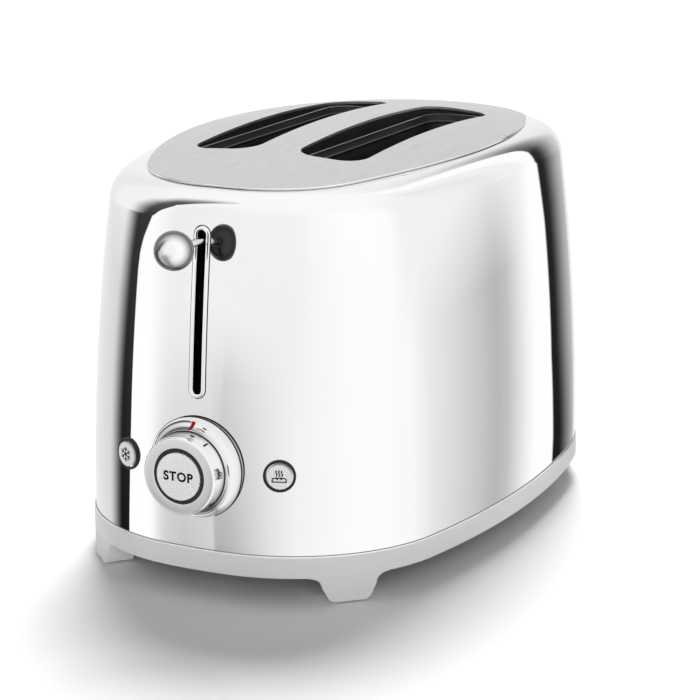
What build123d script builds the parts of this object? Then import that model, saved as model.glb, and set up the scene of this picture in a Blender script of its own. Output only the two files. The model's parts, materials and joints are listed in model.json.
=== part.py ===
"""Two-slice toaster: a bowed steel body on a moulded band with four feet.

X runs across the toaster, Y along it with the lever at the -Y end, Z up.
The model is drawn about the middle of the body and shifted along Y at the
end, so that the origin is under the middle of the whole toaster.
"""
from build123d import *
from functools import lru_cache
from math import asin, atan2, cos, degrees, hypot, radians, sin, sqrt
import os

# Plan outline of the body: two bowed sides, two bowed ends, four corners.
BODY_WIDTH = 194.6
BODY_LENGTH = 304.0
BODY_SIDE_RADIUS = 447.0
BODY_END_RADIUS = 214.0
BODY_END_FLAT = 19.46
# Elevation: straight band at the foot, wall bowed inwards, domed crown.
BODY_HEIGHT = 198.0
WALL_BOW_RADIUS = 1150.0
CROWN_ACROSS_RADIUS = 426.0
CROWN_ALONG_RADIUS = 853.0
SHOULDER_RADIUS = 16.0
SHELL_GAUGE = 1.0
SHELL_STEP = 0.8

# Moulded band and feet.
BAND_BOTTOM = 12.8
BAND_HEIGHT = 10.4
BAND_WALL = 4.0
BAND_LIP = 0.7
LIP_DEPTH = 3.0
BASE_LEDGE = 3.0
BASE_LEDGE_HEIGHT = 1.2
FOOT_TOP_WIDTH = 36.0
FOOT_NECK_WIDTH = 24.0
FOOT_NECK_DROP = 3.4
FOOT_TIP_WIDTH = 14.4
FOOT_TIP_ROUND = 2.4
FOOT_DEPTH = 14.0
FOOT_ANGLE = 45.0
PAD_PROUD = 0.8
PAD_THICKNESS = 2.2
PAD_WIDTH = 10.0
PAD_LENGTH = 9.0

# Top plate.
PLATE_WIDTH = 151.5
PLATE_LENGTH = 259.6
PLATE_SIDE_RADIUS = 232.0
PLATE_END_RADIUS = 165.5
PLATE_END_FLAT = 11.4
PLATE_GAUGE = 1.2
PLATE_SEAT = 5.0

# Bread slots and the frame below them.
SLOT_SPACING = 55.4
SLOT_WIDTH = 34.1
SLOT_LENGTH = 153.8
SLOT_CORNER = 12.0
COLLAR_WALL = 1.0
FRAME_DROP = 10.6
FRAME_GAUGE = 1.2
FRAME_MARGIN = 8.0
WELL_WIDTH = 29.0
WELL_LENGTH = 146.0
WELL_CORNER = 9.0

# Chassis.
CHASSIS_GAP = 172.0
CHASSIS_GAUGE = 1.2
CHASSIS_WIDTH = 128.0
BASE_PLATE_GAUGE = 2.5
BASE_VENT_WIDTH = 4.0
BASE_VENT_LENGTH = 46.0
SHIELD_SPACING = 116.0
SHIELD_GAUGE = 0.8
SHIELD_VENT_WIDTH = 5.0
SHIELD_VENT_LENGTH = 40.0
RAIL_WIDTH = 8.0
RAIL_HEIGHT = 22.8

# Heaters.
BOARD_GAUGE = 0.6
BOARD_BOTTOM = 44.0
BOARD_HEIGHT = 128.0
BOARD_OFFSET = 22.7
RIBBON_WIDTH = 2.4
RIBBON_GAUGE = 0.3
RIBBON_LENGTH = 148.0
RIBBON_HEIGHT = 112.0
RIBBON_RUNS = 8
BOARD_NOTCHES = 4
BOARD_NOTCH_PITCH = 40.0
BOARD_NOTCH_DEPTH = 1.5

# Bread guards: sheets with windows that close on the bread.
GUARD_GAUGE = 0.8
GUARD_BOTTOM = 50.0
GUARD_HEIGHT = 128.0
GUARD_LENGTH = 150.0
GUARD_TRAVEL = 6.0
GUARD_LIP = 3.0
GUARD_WINDOW_WIDTH = 11.0
GUARD_WINDOW_PITCH = 14.5
GUARD_FRAME = 9.0
TAB_HEIGHT = 6.0
TAB_REACH = 1.0
TAB_INSET = 12.0

# Carriage, lever and racks.
LEVER_DIAL_GAP = 8.5
LEVER_TRAVEL = 65.0
STEM_DIAMETER = 3.4
BALL_DIAMETER = 17.8
BALL_REACH = 25.0
BALL_NECK_DIAMETER = 6.0
BALL_NECK_LENGTH = 1.2
LEVER_SLOT_WIDTH = 4.2
LEVER_SLOT_END_GAP = 2.8
BEZEL_LAND = 2.0
BEZEL_PROUD = 0.9
BEZEL_SLEEVE = 1.0
BEZEL_DEPTH = 4.5
CARRIAGE_GAUGE = 1.2
CARRIAGE_WIDTH = 88.0
CARRIAGE_RISE = 4.0
CARRIAGE_GAP = 2.8
TONGUE_WIDTH = 12.0
TONGUE_LENGTH = 40.0
RACK_HEIGHT = 7.0
RACK_CLEARANCE = 3.1
RACK_WEB = 1.2
RACK_WING = 12.0
RACK_WING_LENGTH = 4.0
RACK_WING_DROP = 1.8
RACK_WINGS = 7
RACK_PITCH = 20.0
ROD_DIAMETER = 5.0
ROD_SPACING = 66.0
BUSH_WALL = 1.8
RUNNING_FIT = 0.1
SPRING_DIAMETER = 8.0
SPRING_WALL = 1.0
SPRING_LENGTH = 46.0
SPRING_OFFSET = 18.0
SHELF_DEPTH = 12.0
KEEPER_WIDTH = 22.0
KEEPER_DEPTH = 10.0
KEEPER_GAUGE = 2.0
MAGNET_WIDTH = 18.0
MAGNET_DEPTH = 8.0
MAGNET_LEG = 5.0
COIL_WALL = 3.0
COIL_HEIGHT = 7.5

# Dial, stop button and the two side buttons.
DIAL_HEIGHT = 61.5
DIAL_BASE_DIAMETER = 47.0
DIAL_NECK_DIAMETER = 38.6
DIAL_BASE_DEPTH = 7.0
DIAL_GAP = 0.4
KNOB_DIAMETER = 38.0
KNOB_FRONT_DIAMETER = 36.4
KNOB_LENGTH = 8.6
KNOB_ROUND = 1.2
KNOB_HUB_DIAMETER = 13.6
KNOB_HUB_LENGTH = 19.0
STOP_RING_OUTER = 25.4
STOP_RING_INNER = 22.6
STOP_RING_DEPTH = 2.0
STOP_RING_PROUD = 0.3
STOP_DIAMETER = 22.2
STOP_THICKNESS = 3.4
STOP_PROUD = 0.6
STOP_TRAVEL = 1.5
STOP_STEM_DIAMETER = 5.0
CAP_CHAMFER = 0.4
SPINDLE_FIT = 0.1
TIMER_SIZE = 28.0
TIMER_DEPTH = 14.0
BOARD_THICKNESS = 1.6
CONTROL_WIDTH = 78.0
CONTROL_HEIGHT = 56.0
CONTROL_DROP = 27.5
CONTROL_Y = 127.0
SWITCH_SIZE = 6.0
SWITCH_HEIGHT = 3.4
BUTTON_ANGLE = 22.0
BUTTON_DROP = 0.5
BUTTON_RING_DIAMETER = 15.0
BUTTON_DIAMETER = 11.6
BUTTON_RING_PROUD = 0.9
BUTTON_PROUD = 1.6
BUTTON_LENGTH = 7.0
BUTTON_TRAVEL = 1.5
BUTTON_STEM_DIAMETER = 4.0
POD_WALL = 2.0
POD_LENGTH = 14.0

# Crumb tray.
TRAY_WIDTH = 108.0
TRAY_DEPTH = 7.0
TRAY_WALL = 0.8
TRAY_PULL_WIDTH = 112.0
TRAY_PULL_HEIGHT = 13.0
TRAY_PULL_ROUND = 4.0
TRAY_PULL_THICKNESS = 2.4
TRAY_GRIP_WIDTH = 44.0
TRAY_GRIP_DEPTH = 4.0
TRAY_CLEARANCE = 0.4

# Mains inlet and the cord wrap under the base.
GLAND_DIAMETER = 12.0
GLAND_BORE = 7.2
GLAND_FLANGE = 16.0
GLAND_DROP = 3.0
GLAND_X = 74.0
GLAND_Y = 66.0
TERMINAL_WIDTH = 14.0
TERMINAL_LENGTH = 22.0
TERMINAL_HEIGHT = 16.0
CLEAT_SPACING = 96.0
CLEAT_WIDTH = 26.0
CLEAT_POST = 5.0
CLEAT_DROP = 8.5
CLEAT_LIP = 7.0
CLEAT_WALL = 2.0

# Clearances.
SEAT_GAP = 0.1
SLIDE_GAP = 0.3
MOVING_GAP = 0.5

# How deep a cutter reaches in from the outline, past the bow of the walls.
WALL_REACH = 60.0

BAND_TOP = BAND_BOTTOM + BAND_HEIGHT
SHELL_BOTTOM = BAND_TOP - LIP_DEPTH
BASE_PLATE_BOTTOM = BAND_BOTTOM + BASE_LEDGE_HEIGHT
BASE_PLATE_TOP = BASE_PLATE_BOTTOM + BASE_PLATE_GAUGE
CHASSIS_INNER = CHASSIS_GAP / 2
CHASSIS_OUTER = CHASSIS_INNER + CHASSIS_GAUGE
FRAME_TOP = BODY_HEIGHT - FRAME_DROP
CHASSIS_TOP = FRAME_TOP - FRAME_GAUGE
SLOT_X = SLOT_SPACING / 2
ROD_X = ROD_SPACING / 2
SHIELD_X = SHIELD_SPACING / 2
BUTTON_HEIGHT = DIAL_HEIGHT - BUTTON_DROP
CONTROL_BOTTOM = DIAL_HEIGHT - CONTROL_DROP


class Oval:
    """A plan outline of eight tangent arcs, the same in all four quarters."""

    def __init__(self, width, length, side, end, flat):
        self.half_width, self.half_length = width / 2, length / 2
        self.side, self.end = side, end
        self.side_x = self.half_width - side
        self.end_y = self.half_length - end
        # The corner arc's centre is half the flat from the middle line. Its
        # radius makes it touch both the side arc and the end arc from inside.
        self.corner_x = flat / 2
        gap_x = self.corner_x - self.side_x
        start = (side ** 2 - end ** 2 + self.corner_x ** 2 - gap_x ** 2 + self.end_y ** 2) / (2 * self.end_y)
        slope = (side - end) / self.end_y
        a, b, c = slope ** 2 - 1, 2 * side - 2 * start * slope, gap_x ** 2 + start ** 2 - side ** 2
        spread = sqrt(b ** 2 - 4 * a * c)
        found = [(turn * spread - b) / (2 * a) for turn in (1, -1)]
        self.corner = max(radius for radius in found if radius < min(side, end))
        self.corner_y = start - slope * self.corner
        self.side_turn = degrees(atan2(self.corner_y, self.corner_x - self.side_x))
        self.end_turn = degrees(atan2(self.corner_y - self.end_y, self.corner_x))

    def face(self, inset=0.0):
        """The flat face inside the outline, drawn in from it by inset."""
        a, b = self.side_turn, self.end_turn
        x, y = self.corner_x, self.corner_y
        arcs = [(self.side_x, 0, self.side, -a, a), (x, y, self.corner, a, b),
                (0, self.end_y, self.end, b, 180 - b), (-x, y, self.corner, 180 - b, 180 - a),
                (-self.side_x, 0, self.side, 180 - a, 180 + a),
                (-x, -y, self.corner, 180 + a, 180 + b),
                (0, -self.end_y, self.end, 180 + b, 360 - b),
                (x, -y, self.corner, 360 - b, 360 - a)]
        return Face(Wire([Edge.make_circle(radius - inset, Plane((cx, cy, 0)), start, stop)
                          for cx, cy, radius, start, stop in arcs]))

    def point(self, turn, inset=0.0):
        """The point of the first quarter whose normal is turned from +X by turn degrees."""
        if turn < self.side_turn:
            cx, cy, radius = self.side_x, 0.0, self.side
        elif turn < self.end_turn:
            cx, cy, radius = self.corner_x, self.corner_y, self.corner
        else:
            cx, cy, radius = 0.0, self.end_y, self.end
        reach = radius - inset
        return cx + reach * cos(radians(turn)), cy + reach * sin(radians(turn))


BODY = Oval(BODY_WIDTH, BODY_LENGTH, BODY_SIDE_RADIUS, BODY_END_RADIUS, BODY_END_FLAT)
PLATE = Oval(PLATE_WIDTH, PLATE_LENGTH, PLATE_SIDE_RADIUS, PLATE_END_RADIUS, PLATE_END_FLAT)


def wall_inset(z):
    """How far the bowed wall has come in from the band's face at height z."""
    return (z - BAND_TOP) ** 2 / (2 * WALL_BOW_RADIUS)


def front_y(z, inset=0.0):
    """The wall's reach along Y at height z on the middle line, drawn in by inset."""
    return BODY.half_length - wall_inset(z) - inset


def crown_z(x, y, depth=0.0):
    """Height of the domed crown, sunk by depth, over a point of the plan."""
    across = CROWN_ALONG_RADIUS - CROWN_ACROSS_RADIUS + sqrt((CROWN_ACROSS_RADIUS - depth) ** 2 - x ** 2)
    return BODY_HEIGHT - CROWN_ALONG_RADIUS + sqrt(across ** 2 - y ** 2)


@lru_cache
def walls(inset, low=SHELL_BOTTOM):
    """The solid inside the bowed walls, drawn in by inset, from low to the crown's height."""
    heights = [low + row * (BODY_HEIGHT - low) / 3 for row in range(4)]
    return loft([Pos(0, 0, z) * BODY.face(wall_inset(z) + inset) for z in heights])


@lru_cache
def crown(depth):
    """The solid under the domed crown, sunk by depth."""
    reach = 0.6 * BODY_WIDTH
    top = BODY_HEIGHT - depth
    edge = BODY_HEIGHT - CROWN_ACROSS_RADIUS + sqrt((CROWN_ACROSS_RADIUS - depth) ** 2 - reach ** 2)
    arc = ThreePointArc((-reach, 0, edge), (0, 0, top), (reach, 0, edge))
    rest = Polyline((reach, 0, edge), (reach, 0, 0), (-reach, 0, 0), (-reach, 0, edge))
    axis = Axis((0, 0, BODY_HEIGHT - CROWN_ALONG_RADIUS), (1, 0, 0))
    half = degrees(asin(0.62 * BODY_LENGTH / CROWN_ALONG_RADIUS))
    return revolve(Face(Wire([*arc.edges(), *rest.edges()])).rotate(axis, -half), axis, 2 * half)


def body_block(inset, depth, low, shoulder):
    """Walls and crown as one block with a rounded shoulder."""
    body = walls(inset, low) & crown(depth)
    rim = body.edges().filter_by(lambda edge: edge.center().Z > BODY_HEIGHT * 0.85)
    return fillet(rim, shoulder)


def block(x1, x2, y1, y2, z1, z2):
    """A plain block between three pairs of coordinates."""
    middle = Pos((x1 + x2) / 2, (y1 + y2) / 2, (z1 + z2) / 2)
    return middle * Box(abs(x2 - x1), abs(y2 - y1), abs(z2 - z1))


def repeated(outline, places):
    """One sketch with an outline at every place."""
    return Sketch() + [place * outline for place in places]


def rod_between(x, y, z1, z2, diameter):
    """An upright round bar."""
    return Pos(x, y, (z1 + z2) / 2) * Cylinder(diameter / 2, abs(z2 - z1))


def slot_prism(width, low, high, reach=WALL_REACH):
    """A round-ended upright slot through the front wall."""
    plane = Plane((0, -BODY.half_length + reach / 2, (low + high) / 2), x_dir=(0, 0, 1), z_dir=(0, -1, 0))
    return extrude(plane * SlotOverall(high - low, width), amount=reach)


def front_axis(z, inset=0.0):
    """Plane on the front wall's middle line: its normal looks out along -Y."""
    return Plane((0, -front_y(z, inset), z), x_dir=(1, 0, 0), z_dir=(0, -1, 0))


def button_plane(side, inset=0.0):
    """Plane on the wall where a side button sits, its normal looking out."""
    x, y = BODY.point(90 - BUTTON_ANGLE, wall_inset(BUTTON_HEIGHT) + inset)
    turn = radians(BUTTON_ANGLE)
    return Plane((side * x, -y, BUTTON_HEIGHT), x_dir=(cos(turn), side * sin(turn), 0),
                 z_dir=(side * sin(turn), -cos(turn), 0))


def round_bar(plane, start, stop, diameter):
    """A round bar on a plane's normal between two distances from it."""
    return plane * Pos(0, 0, (start + stop) / 2) * Cylinder(diameter / 2, abs(stop - start))


def tapered_bar(plane, start, stop, diameter, end_diameter):
    """A round bar that tapers from start to stop."""
    return plane * Pos(0, 0, (start + stop) / 2) * Cone(diameter / 2, end_diameter / 2, stop - start)


def flat_plate(width, height, gauge, centre, facing):
    """A plain sheet whose middle is at centre, standing square to facing."""
    plane = Plane(centre, x_dir=(0, 1, 0) if facing[0] else (1, 0, 0), z_dir=facing)
    return extrude(plane * Rectangle(width, height), amount=gauge / 2, both=True)


# The lever's slot begins above the dial and is as long as the lever's travel asks.
LEVER_SLOT_BOTTOM = DIAL_HEIGHT + DIAL_BASE_DIAMETER / 2 + LEVER_DIAL_GAP + BEZEL_LAND
LEVER_HEIGHT = LEVER_SLOT_BOTTOM + LEVER_SLOT_END_GAP + STEM_DIAMETER / 2 + LEVER_TRAVEL
LEVER_SLOT_TOP = LEVER_HEIGHT + STEM_DIAMETER / 2 + LEVER_SLOT_END_GAP
BEZEL_OUTER = LEVER_SLOT_WIDTH + 2 * BEZEL_LAND
SLEEVE_OUTER = LEVER_SLOT_WIDTH + 2 * BEZEL_SLEEVE
BALL_Y = front_y(LEVER_HEIGHT, SHELL_STEP) + BALL_REACH
# The body moves back by half of what the ball stands out past the band.
SHIFT = (BALL_Y + BALL_DIAMETER / 2 - BODY.half_length) / 2

TRAY_BOTTOM = RAIL_HEIGHT + SHIELD_GAUGE + SLIDE_GAP
TRAY_TOP = TRAY_BOTTOM + TRAY_DEPTH
# With the lever down, the racks stop just above the tray.
RACK_TOP = TRAY_TOP + RACK_CLEARANCE + LEVER_TRAVEL + RACK_HEIGHT
PULL_BOTTOM = BAND_TOP + MOVING_GAP
PULL_TOP = PULL_BOTTOM + TRAY_PULL_HEIGHT


def pull_outline(margin=0.0):
    """The tray's pull seen from the rear, grown by margin, as a bar along +Y."""
    middle = (PULL_BOTTOM + PULL_TOP) / 2
    plane = Plane((0, CHASSIS_OUTER + 10, middle), x_dir=(-1, 0, 0), z_dir=(0, 1, 0))
    outline = RectangleRounded(TRAY_PULL_WIDTH + 2 * margin, TRAY_PULL_HEIGHT + 2 * margin,
                               TRAY_PULL_ROUND + margin)
    return extrude(plane * outline, amount=BODY.half_length)


def make_outer_shell():
    """Pressed steel body with its openings."""
    depth = PLATE_GAUGE + SEAT_GAP
    outer = body_block(SHELL_STEP, depth, SHELL_BOTTOM, SHOULDER_RADIUS)
    inner = body_block(SHELL_STEP + SHELL_GAUGE, depth + SHELL_GAUGE, SHELL_BOTTOM - 1,
                       SHOULDER_RADIUS - SHELL_GAUGE)
    shell = outer - inner - extrude(PLATE.face(PLATE_SEAT), amount=BODY_HEIGHT + 10)
    shell = shell.fix()
    shell -= slot_prism(SLEEVE_OUTER + 2 * SEAT_GAP, LEVER_SLOT_BOTTOM - BEZEL_SLEEVE - SEAT_GAP,
                        LEVER_SLOT_TOP + BEZEL_SLEEVE + SEAT_GAP)
    shell -= round_bar(front_axis(DIAL_HEIGHT), -20, 20, DIAL_NECK_DIAMETER - 6 + 2 * SEAT_GAP)
    for side in (-1, 1):
        shell -= round_bar(button_plane(side), -10, 10, BUTTON_RING_DIAMETER - 1.6 + 2 * SEAT_GAP)
    return shell - pull_outline(TRAY_CLEARANCE)


def make_top_plate():
    """Domed brushed plate with the two bread slots."""
    opening = RectangleRounded(SLOT_WIDTH, SLOT_LENGTH, SLOT_CORNER)
    outline = Sketch() + PLATE.face() - repeated(opening, (Pos(-SLOT_X, 0, 0), Pos(SLOT_X, 0, 0)))
    lift = crown_z(PLATE_WIDTH / 2, PLATE_LENGTH / 2) - 20
    blank = extrude(Pos(0, 0, lift) * outline, amount=BODY_HEIGHT + 10 - lift)
    return ((blank & crown(0.0)) - crown(PLATE_GAUGE)).fix()


def make_slot_frame():
    """Black frame under the plate: a ledge with two wells and a collar round each slot."""
    frame_half = SLOT_X + SLOT_WIDTH / 2 + FRAME_MARGIN
    frame = block(-frame_half, frame_half, -CHASSIS_OUTER, CHASSIS_OUTER, CHASSIS_TOP, FRAME_TOP)
    lift = BODY_HEIGHT - FRAME_TOP
    for side in (-1, 1):
        at = Pos(side * SLOT_X, 0, FRAME_TOP)
        outside = RectangleRounded(SLOT_WIDTH + 2 * COLLAR_WALL, SLOT_LENGTH + 2 * COLLAR_WALL,
                                   SLOT_CORNER + COLLAR_WALL)
        inside = RectangleRounded(SLOT_WIDTH, SLOT_LENGTH, SLOT_CORNER)
        frame += extrude(at * (outside - inside), amount=lift)
        well = RectangleRounded(WELL_WIDTH, WELL_LENGTH, WELL_CORNER)
        frame -= extrude(Pos(side * SLOT_X, 0, CHASSIS_TOP - 1) * well, amount=FRAME_GAUGE + 2)
    return frame & crown(PLATE_GAUGE + SEAT_GAP)


def foot_frame(turn_x, turn_y, inset=0.0):
    """Plane on the band's face at a foot: x along the band, y up, z out."""
    x, y = BODY.point(FOOT_ANGLE, inset)
    turn = radians(FOOT_ANGLE)
    out = (turn_x * cos(turn), turn_y * sin(turn), 0)
    return Plane((turn_x * x, turn_y * y, 0), x_dir=(-out[1], out[0], 0), z_dir=out)


CORNERS = {"front_left": (-1, -1), "front_right": (1, -1), "rear_left": (-1, 1), "rear_right": (1, 1)}


def make_foot(turn_x, turn_y):
    """One foot of the band: a tapered tab with hollow-sided shoulders and a rounded tip."""
    top, neck, tip = FOOT_TOP_WIDTH / 2, FOOT_NECK_WIDTH / 2, FOOT_TIP_WIDTH / 2
    neck_z = BAND_BOTTOM - FOOT_NECK_DROP
    bulge = (top * 0.35 + neck * 0.65, neck_z + FOOT_NECK_DROP * 0.72)
    slope = atan2(neck - tip, neck_z - PAD_PROUD)
    turn_in = (tip + FOOT_TIP_ROUND * sin(slope), PAD_PROUD + FOOT_TIP_ROUND * cos(slope))
    turn_end = (tip - FOOT_TIP_ROUND * 0.6, PAD_PROUD)
    tip_bend = (tip - FOOT_TIP_ROUND * 0.05, PAD_PROUD + FOOT_TIP_ROUND * 0.32)
    half = [ThreePointArc((top, BAND_BOTTOM), bulge, (neck, neck_z)),
            Line((neck, neck_z), turn_in),
            ThreePointArc(turn_in, tip_bend, turn_end)]
    middle = Line(turn_end, (-turn_end[0], PAD_PROUD))
    mirrored = [mirror(edge, about=Plane.YZ) for edge in half]
    above = BAND_BOTTOM + 2
    upper = Polyline((-top, BAND_BOTTOM), (-top, above), (top, above), (top, BAND_BOTTOM))
    edges = [e for part in (*half, middle, *mirrored, upper) for e in part.edges()]
    outline = make_face(Curve() + edges)
    frame = foot_frame(turn_x, turn_y)
    foot = extrude(frame * Pos(0, 0, -FOOT_DEPTH) * outline, amount=FOOT_DEPTH + 12)
    foot &= extrude(BODY.face(), amount=BAND_BOTTOM)
    return foot - make_pad(turn_x, turn_y, SEAT_GAP)


def make_pad(turn_x, turn_y, grow=0.0):
    """Rubber pad let into the foot's underside; grow gives its recess."""
    frame = foot_frame(turn_x, turn_y)
    at = frame.origin - frame.z_dir * (FOOT_DEPTH / 2)
    ground = Plane((at.X, at.Y, 0), x_dir=frame.x_dir, z_dir=(0, 0, 1))
    outline = RectangleRounded(PAD_WIDTH + 2 * grow, PAD_LENGTH + 2 * grow, 2.0 + grow)
    return extrude(ground * outline, amount=PAD_THICKNESS + grow)


def make_base_band():
    """Moulded band with a lip round the shell, a ledge for the base plate and four feet."""
    band = extrude(Pos(0, 0, BAND_BOTTOM) * BODY.face(), amount=BAND_HEIGHT)
    band -= extrude(Pos(0, 0, SHELL_BOTTOM) * BODY.face(BAND_LIP), amount=LIP_DEPTH + 1)
    band -= extrude(Pos(0, 0, BASE_PLATE_BOTTOM) * BODY.face(BAND_WALL), amount=BAND_HEIGHT)
    band -= extrude(BODY.face(BAND_WALL + BASE_LEDGE), amount=BAND_TOP)
    for turn_x, turn_y in CORNERS.values():
        band += make_foot(turn_x, turn_y)
    return band


def make_base_plate():
    """Pressed bottom plate with rows of vents and the hole for the cord gland."""
    plate = extrude(Pos(0, 0, BASE_PLATE_BOTTOM) * BODY.face(BAND_WALL + SEAT_GAP), amount=BASE_PLATE_GAUGE)
    vent = Rectangle(BASE_VENT_LENGTH, BASE_VENT_WIDTH)
    rows = GridLocations(BASE_VENT_LENGTH + 8, 3.2 * BASE_VENT_WIDTH, 2, 9)
    plate -= extrude(repeated(vent, rows), amount=BASE_PLATE_TOP + 1)
    plate -= rod_between(GLAND_X, GLAND_Y, 0, 30, GLAND_DIAMETER + 2 * SEAT_GAP)
    return plate


def guard_positions():
    """X of each bread guard's middle at rest and the side it moves to."""
    found = {}
    for name, centre in (("left", -SLOT_X), ("right", SLOT_X)):
        for part, turn in (("inner", -1 if centre > 0 else 1), ("outer", 1 if centre > 0 else -1)):
            found[f"{name}_{part}"] = (centre + turn * (WELL_WIDTH + GUARD_GAUGE) / 2, -turn)
    return found


def rack_low():
    """Underside of the racks with the lever down."""
    return RACK_TOP - RACK_HEIGHT - LEVER_TRAVEL


def make_chassis(turn):
    """End plate of the chassis, with guide slots for racks and guards.

    The rear plate has the window for the crumb tray, the front one the top
    shelf that holds the guide rods and the spring.
    """
    y = turn * (CHASSIS_INNER + CHASSIS_GAUGE / 2)
    height = CHASSIS_TOP - BASE_PLATE_TOP
    sheet = flat_plate(CHASSIS_WIDTH, height, CHASSIS_GAUGE, (0, y, BASE_PLATE_TOP + height / 2), (0, 1, 0))
    low = rack_low() - MOVING_GAP
    high = RACK_TOP + MOVING_GAP
    for side in (-1, 1):
        half = RACK_WEB / 2 + MOVING_GAP
        sheet -= block(side * SLOT_X - half, side * SLOT_X + half, y - 3, y + 3, low, high)
    for x, way in guard_positions().values():
        start = x - way * (GUARD_GAUGE / 2 + MOVING_GAP)
        stop = x + way * (GUARD_GAUGE / 2 + GUARD_TRAVEL + MOVING_GAP)
        for z in guard_tab_heights():
            sheet -= block(start, stop, y - 3, y + 3, z - MOVING_GAP, z + TAB_HEIGHT + MOVING_GAP)
    if turn > 0:
        half = TRAY_WIDTH / 2 + MOVING_GAP
        sheet -= block(-half, half, y - 3, y + 3, TRAY_BOTTOM - SLIDE_GAP, TRAY_TOP + MOVING_GAP)
        return sheet
    shelf = block(-CARRIAGE_WIDTH / 2, CARRIAGE_WIDTH / 2, -CHASSIS_OUTER - SHELF_DEPTH - 1, -CHASSIS_INNER,
                  CHASSIS_TOP - CHASSIS_GAUGE, CHASSIS_TOP)
    sheet += shelf
    for side in (-1, 1):
        sheet -= rod_between(side * ROD_X, -ROD_Y, CHASSIS_TOP - 5, CHASSIS_TOP + 5, ROD_DIAMETER)
    return sheet


def guard_tab_heights():
    """Undersides of the two tabs on each end of a bread guard."""
    return GUARD_BOTTOM + TAB_INSET, GUARD_BOTTOM + GUARD_HEIGHT - TAB_INSET - TAB_HEIGHT


def make_guard(x, way):
    """Bread guard: a sheet with upright windows, a turned-out top lip and two tabs at each end."""
    middle = GUARD_BOTTOM + GUARD_HEIGHT / 2
    sheet = flat_plate(GUARD_LENGTH, GUARD_HEIGHT, GUARD_GAUGE, (x, 0, middle), (1, 0, 0))
    room = GUARD_LENGTH - 2 * GUARD_FRAME - GUARD_WINDOW_WIDTH
    count = int(room // GUARD_WINDOW_PITCH) + 1
    plane = Plane((x, 0, middle), x_dir=(0, 1, 0), z_dir=(1, 0, 0))
    windows = GridLocations(GUARD_WINDOW_PITCH, 1, count, 1)
    window = Rectangle(GUARD_WINDOW_WIDTH, GUARD_HEIGHT - 2 * GUARD_FRAME)
    sheet -= extrude(plane * repeated(window, windows), amount=5, both=True)
    reach = CHASSIS_OUTER + TAB_REACH
    for z in guard_tab_heights():
        half = GUARD_GAUGE / 2
        for turn in (-1, 1):
            start = turn * (GUARD_LENGTH / 2 - 1)
            sheet += block(x - half, x + half, start, turn * reach, z, z + TAB_HEIGHT)
    lip_x = x - way * (GUARD_GAUGE / 2)
    top = GUARD_BOTTOM + GUARD_HEIGHT
    end = GUARD_LENGTH / 2
    sheet += block(lip_x, lip_x - way * GUARD_LIP, -end, end, top - GUARD_GAUGE, top)
    return sheet


def board_positions():
    """X of each heater board's middle and the way its ribbon faces."""
    return {f"{name}_{part}": (centre + turn * BOARD_OFFSET, -turn)
            for name, centre in (("left", -SLOT_X), ("right", SLOT_X))
            for part, turn in (("inner", -1 if centre > 0 else 1), ("outer", 1 if centre > 0 else -1))}


def make_heater_board(x):
    """Mica board held between the two end plates."""
    middle = (x, 0, BOARD_BOTTOM + BOARD_HEIGHT / 2)
    board = flat_plate(CHASSIS_GAP, BOARD_HEIGHT, BOARD_GAUGE, middle, (1, 0, 0))
    plane = Plane(middle, x_dir=(0, 1, 0), z_dir=(1, 0, 0))
    notches = GridLocations(BOARD_NOTCH_PITCH, BOARD_HEIGHT, BOARD_NOTCHES, 2)
    notch = Rectangle(RIBBON_WIDTH + 1, 2 * BOARD_NOTCH_DEPTH)
    return board - extrude(plane * repeated(notch, notches), amount=BOARD_GAUGE, both=True)


def make_ribbon(x, way):
    """Flat heating ribbon folded up and down over one face of its board."""
    face_x = x + way * (BOARD_GAUGE / 2)
    plane = Plane((face_x, 0, BOARD_BOTTOM + BOARD_HEIGHT / 2), x_dir=(0, 1, 0), z_dir=(way, 0, 0))
    outline = Rectangle(RIBBON_LENGTH, RIBBON_HEIGHT)
    step = (RIBBON_LENGTH - RIBBON_WIDTH) / (RIBBON_RUNS - 1)
    for gap in range(RIBBON_RUNS - 1):
        at = -RIBBON_LENGTH / 2 + RIBBON_WIDTH + gap * step + (step - RIBBON_WIDTH) / 2
        lift = RIBBON_WIDTH if gap % 2 else -RIBBON_WIDTH
        outline -= Pos(at, lift) * Rectangle(step - RIBBON_WIDTH, RIBBON_HEIGHT)
    return extrude(plane * outline, amount=RIBBON_GAUGE)


def make_heat_shield(turn):
    """Side shield with vents near the top and a rail for the tray at the foot."""
    height = CHASSIS_TOP - BASE_PLATE_TOP - 1
    x = turn * SHIELD_X
    shield = flat_plate(CHASSIS_GAP, height, SHIELD_GAUGE, (x, 0, BASE_PLATE_TOP + height / 2), (1, 0, 0))
    plane = Plane((x, 0, BASE_PLATE_TOP + height - 30), x_dir=(0, 1, 0), z_dir=(1, 0, 0))
    vents = GridLocations(3 * SHIELD_VENT_WIDTH, 1, 9, 1)
    vent = Rectangle(SHIELD_VENT_WIDTH, SHIELD_VENT_LENGTH)
    shield -= extrude(plane * repeated(vent, vents), amount=5, both=True)
    return shield + block(x, x - turn * RAIL_WIDTH, -CHASSIS_INNER, CHASSIS_INNER,
                          RAIL_HEIGHT, RAIL_HEIGHT + SHIELD_GAUGE)


CARRIAGE_Y = CHASSIS_OUTER + CARRIAGE_GAP
ROD_Y = CARRIAGE_Y + CARRIAGE_GAUGE + ROD_DIAMETER / 2 + RUNNING_FIT + 0.4
CARRIAGE_TOP = LEVER_HEIGHT + CARRIAGE_RISE
CARRIAGE_BOTTOM = RACK_TOP - RACK_HEIGHT
CARRIAGE_HEIGHT = CARRIAGE_TOP - CARRIAGE_BOTTOM


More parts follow.
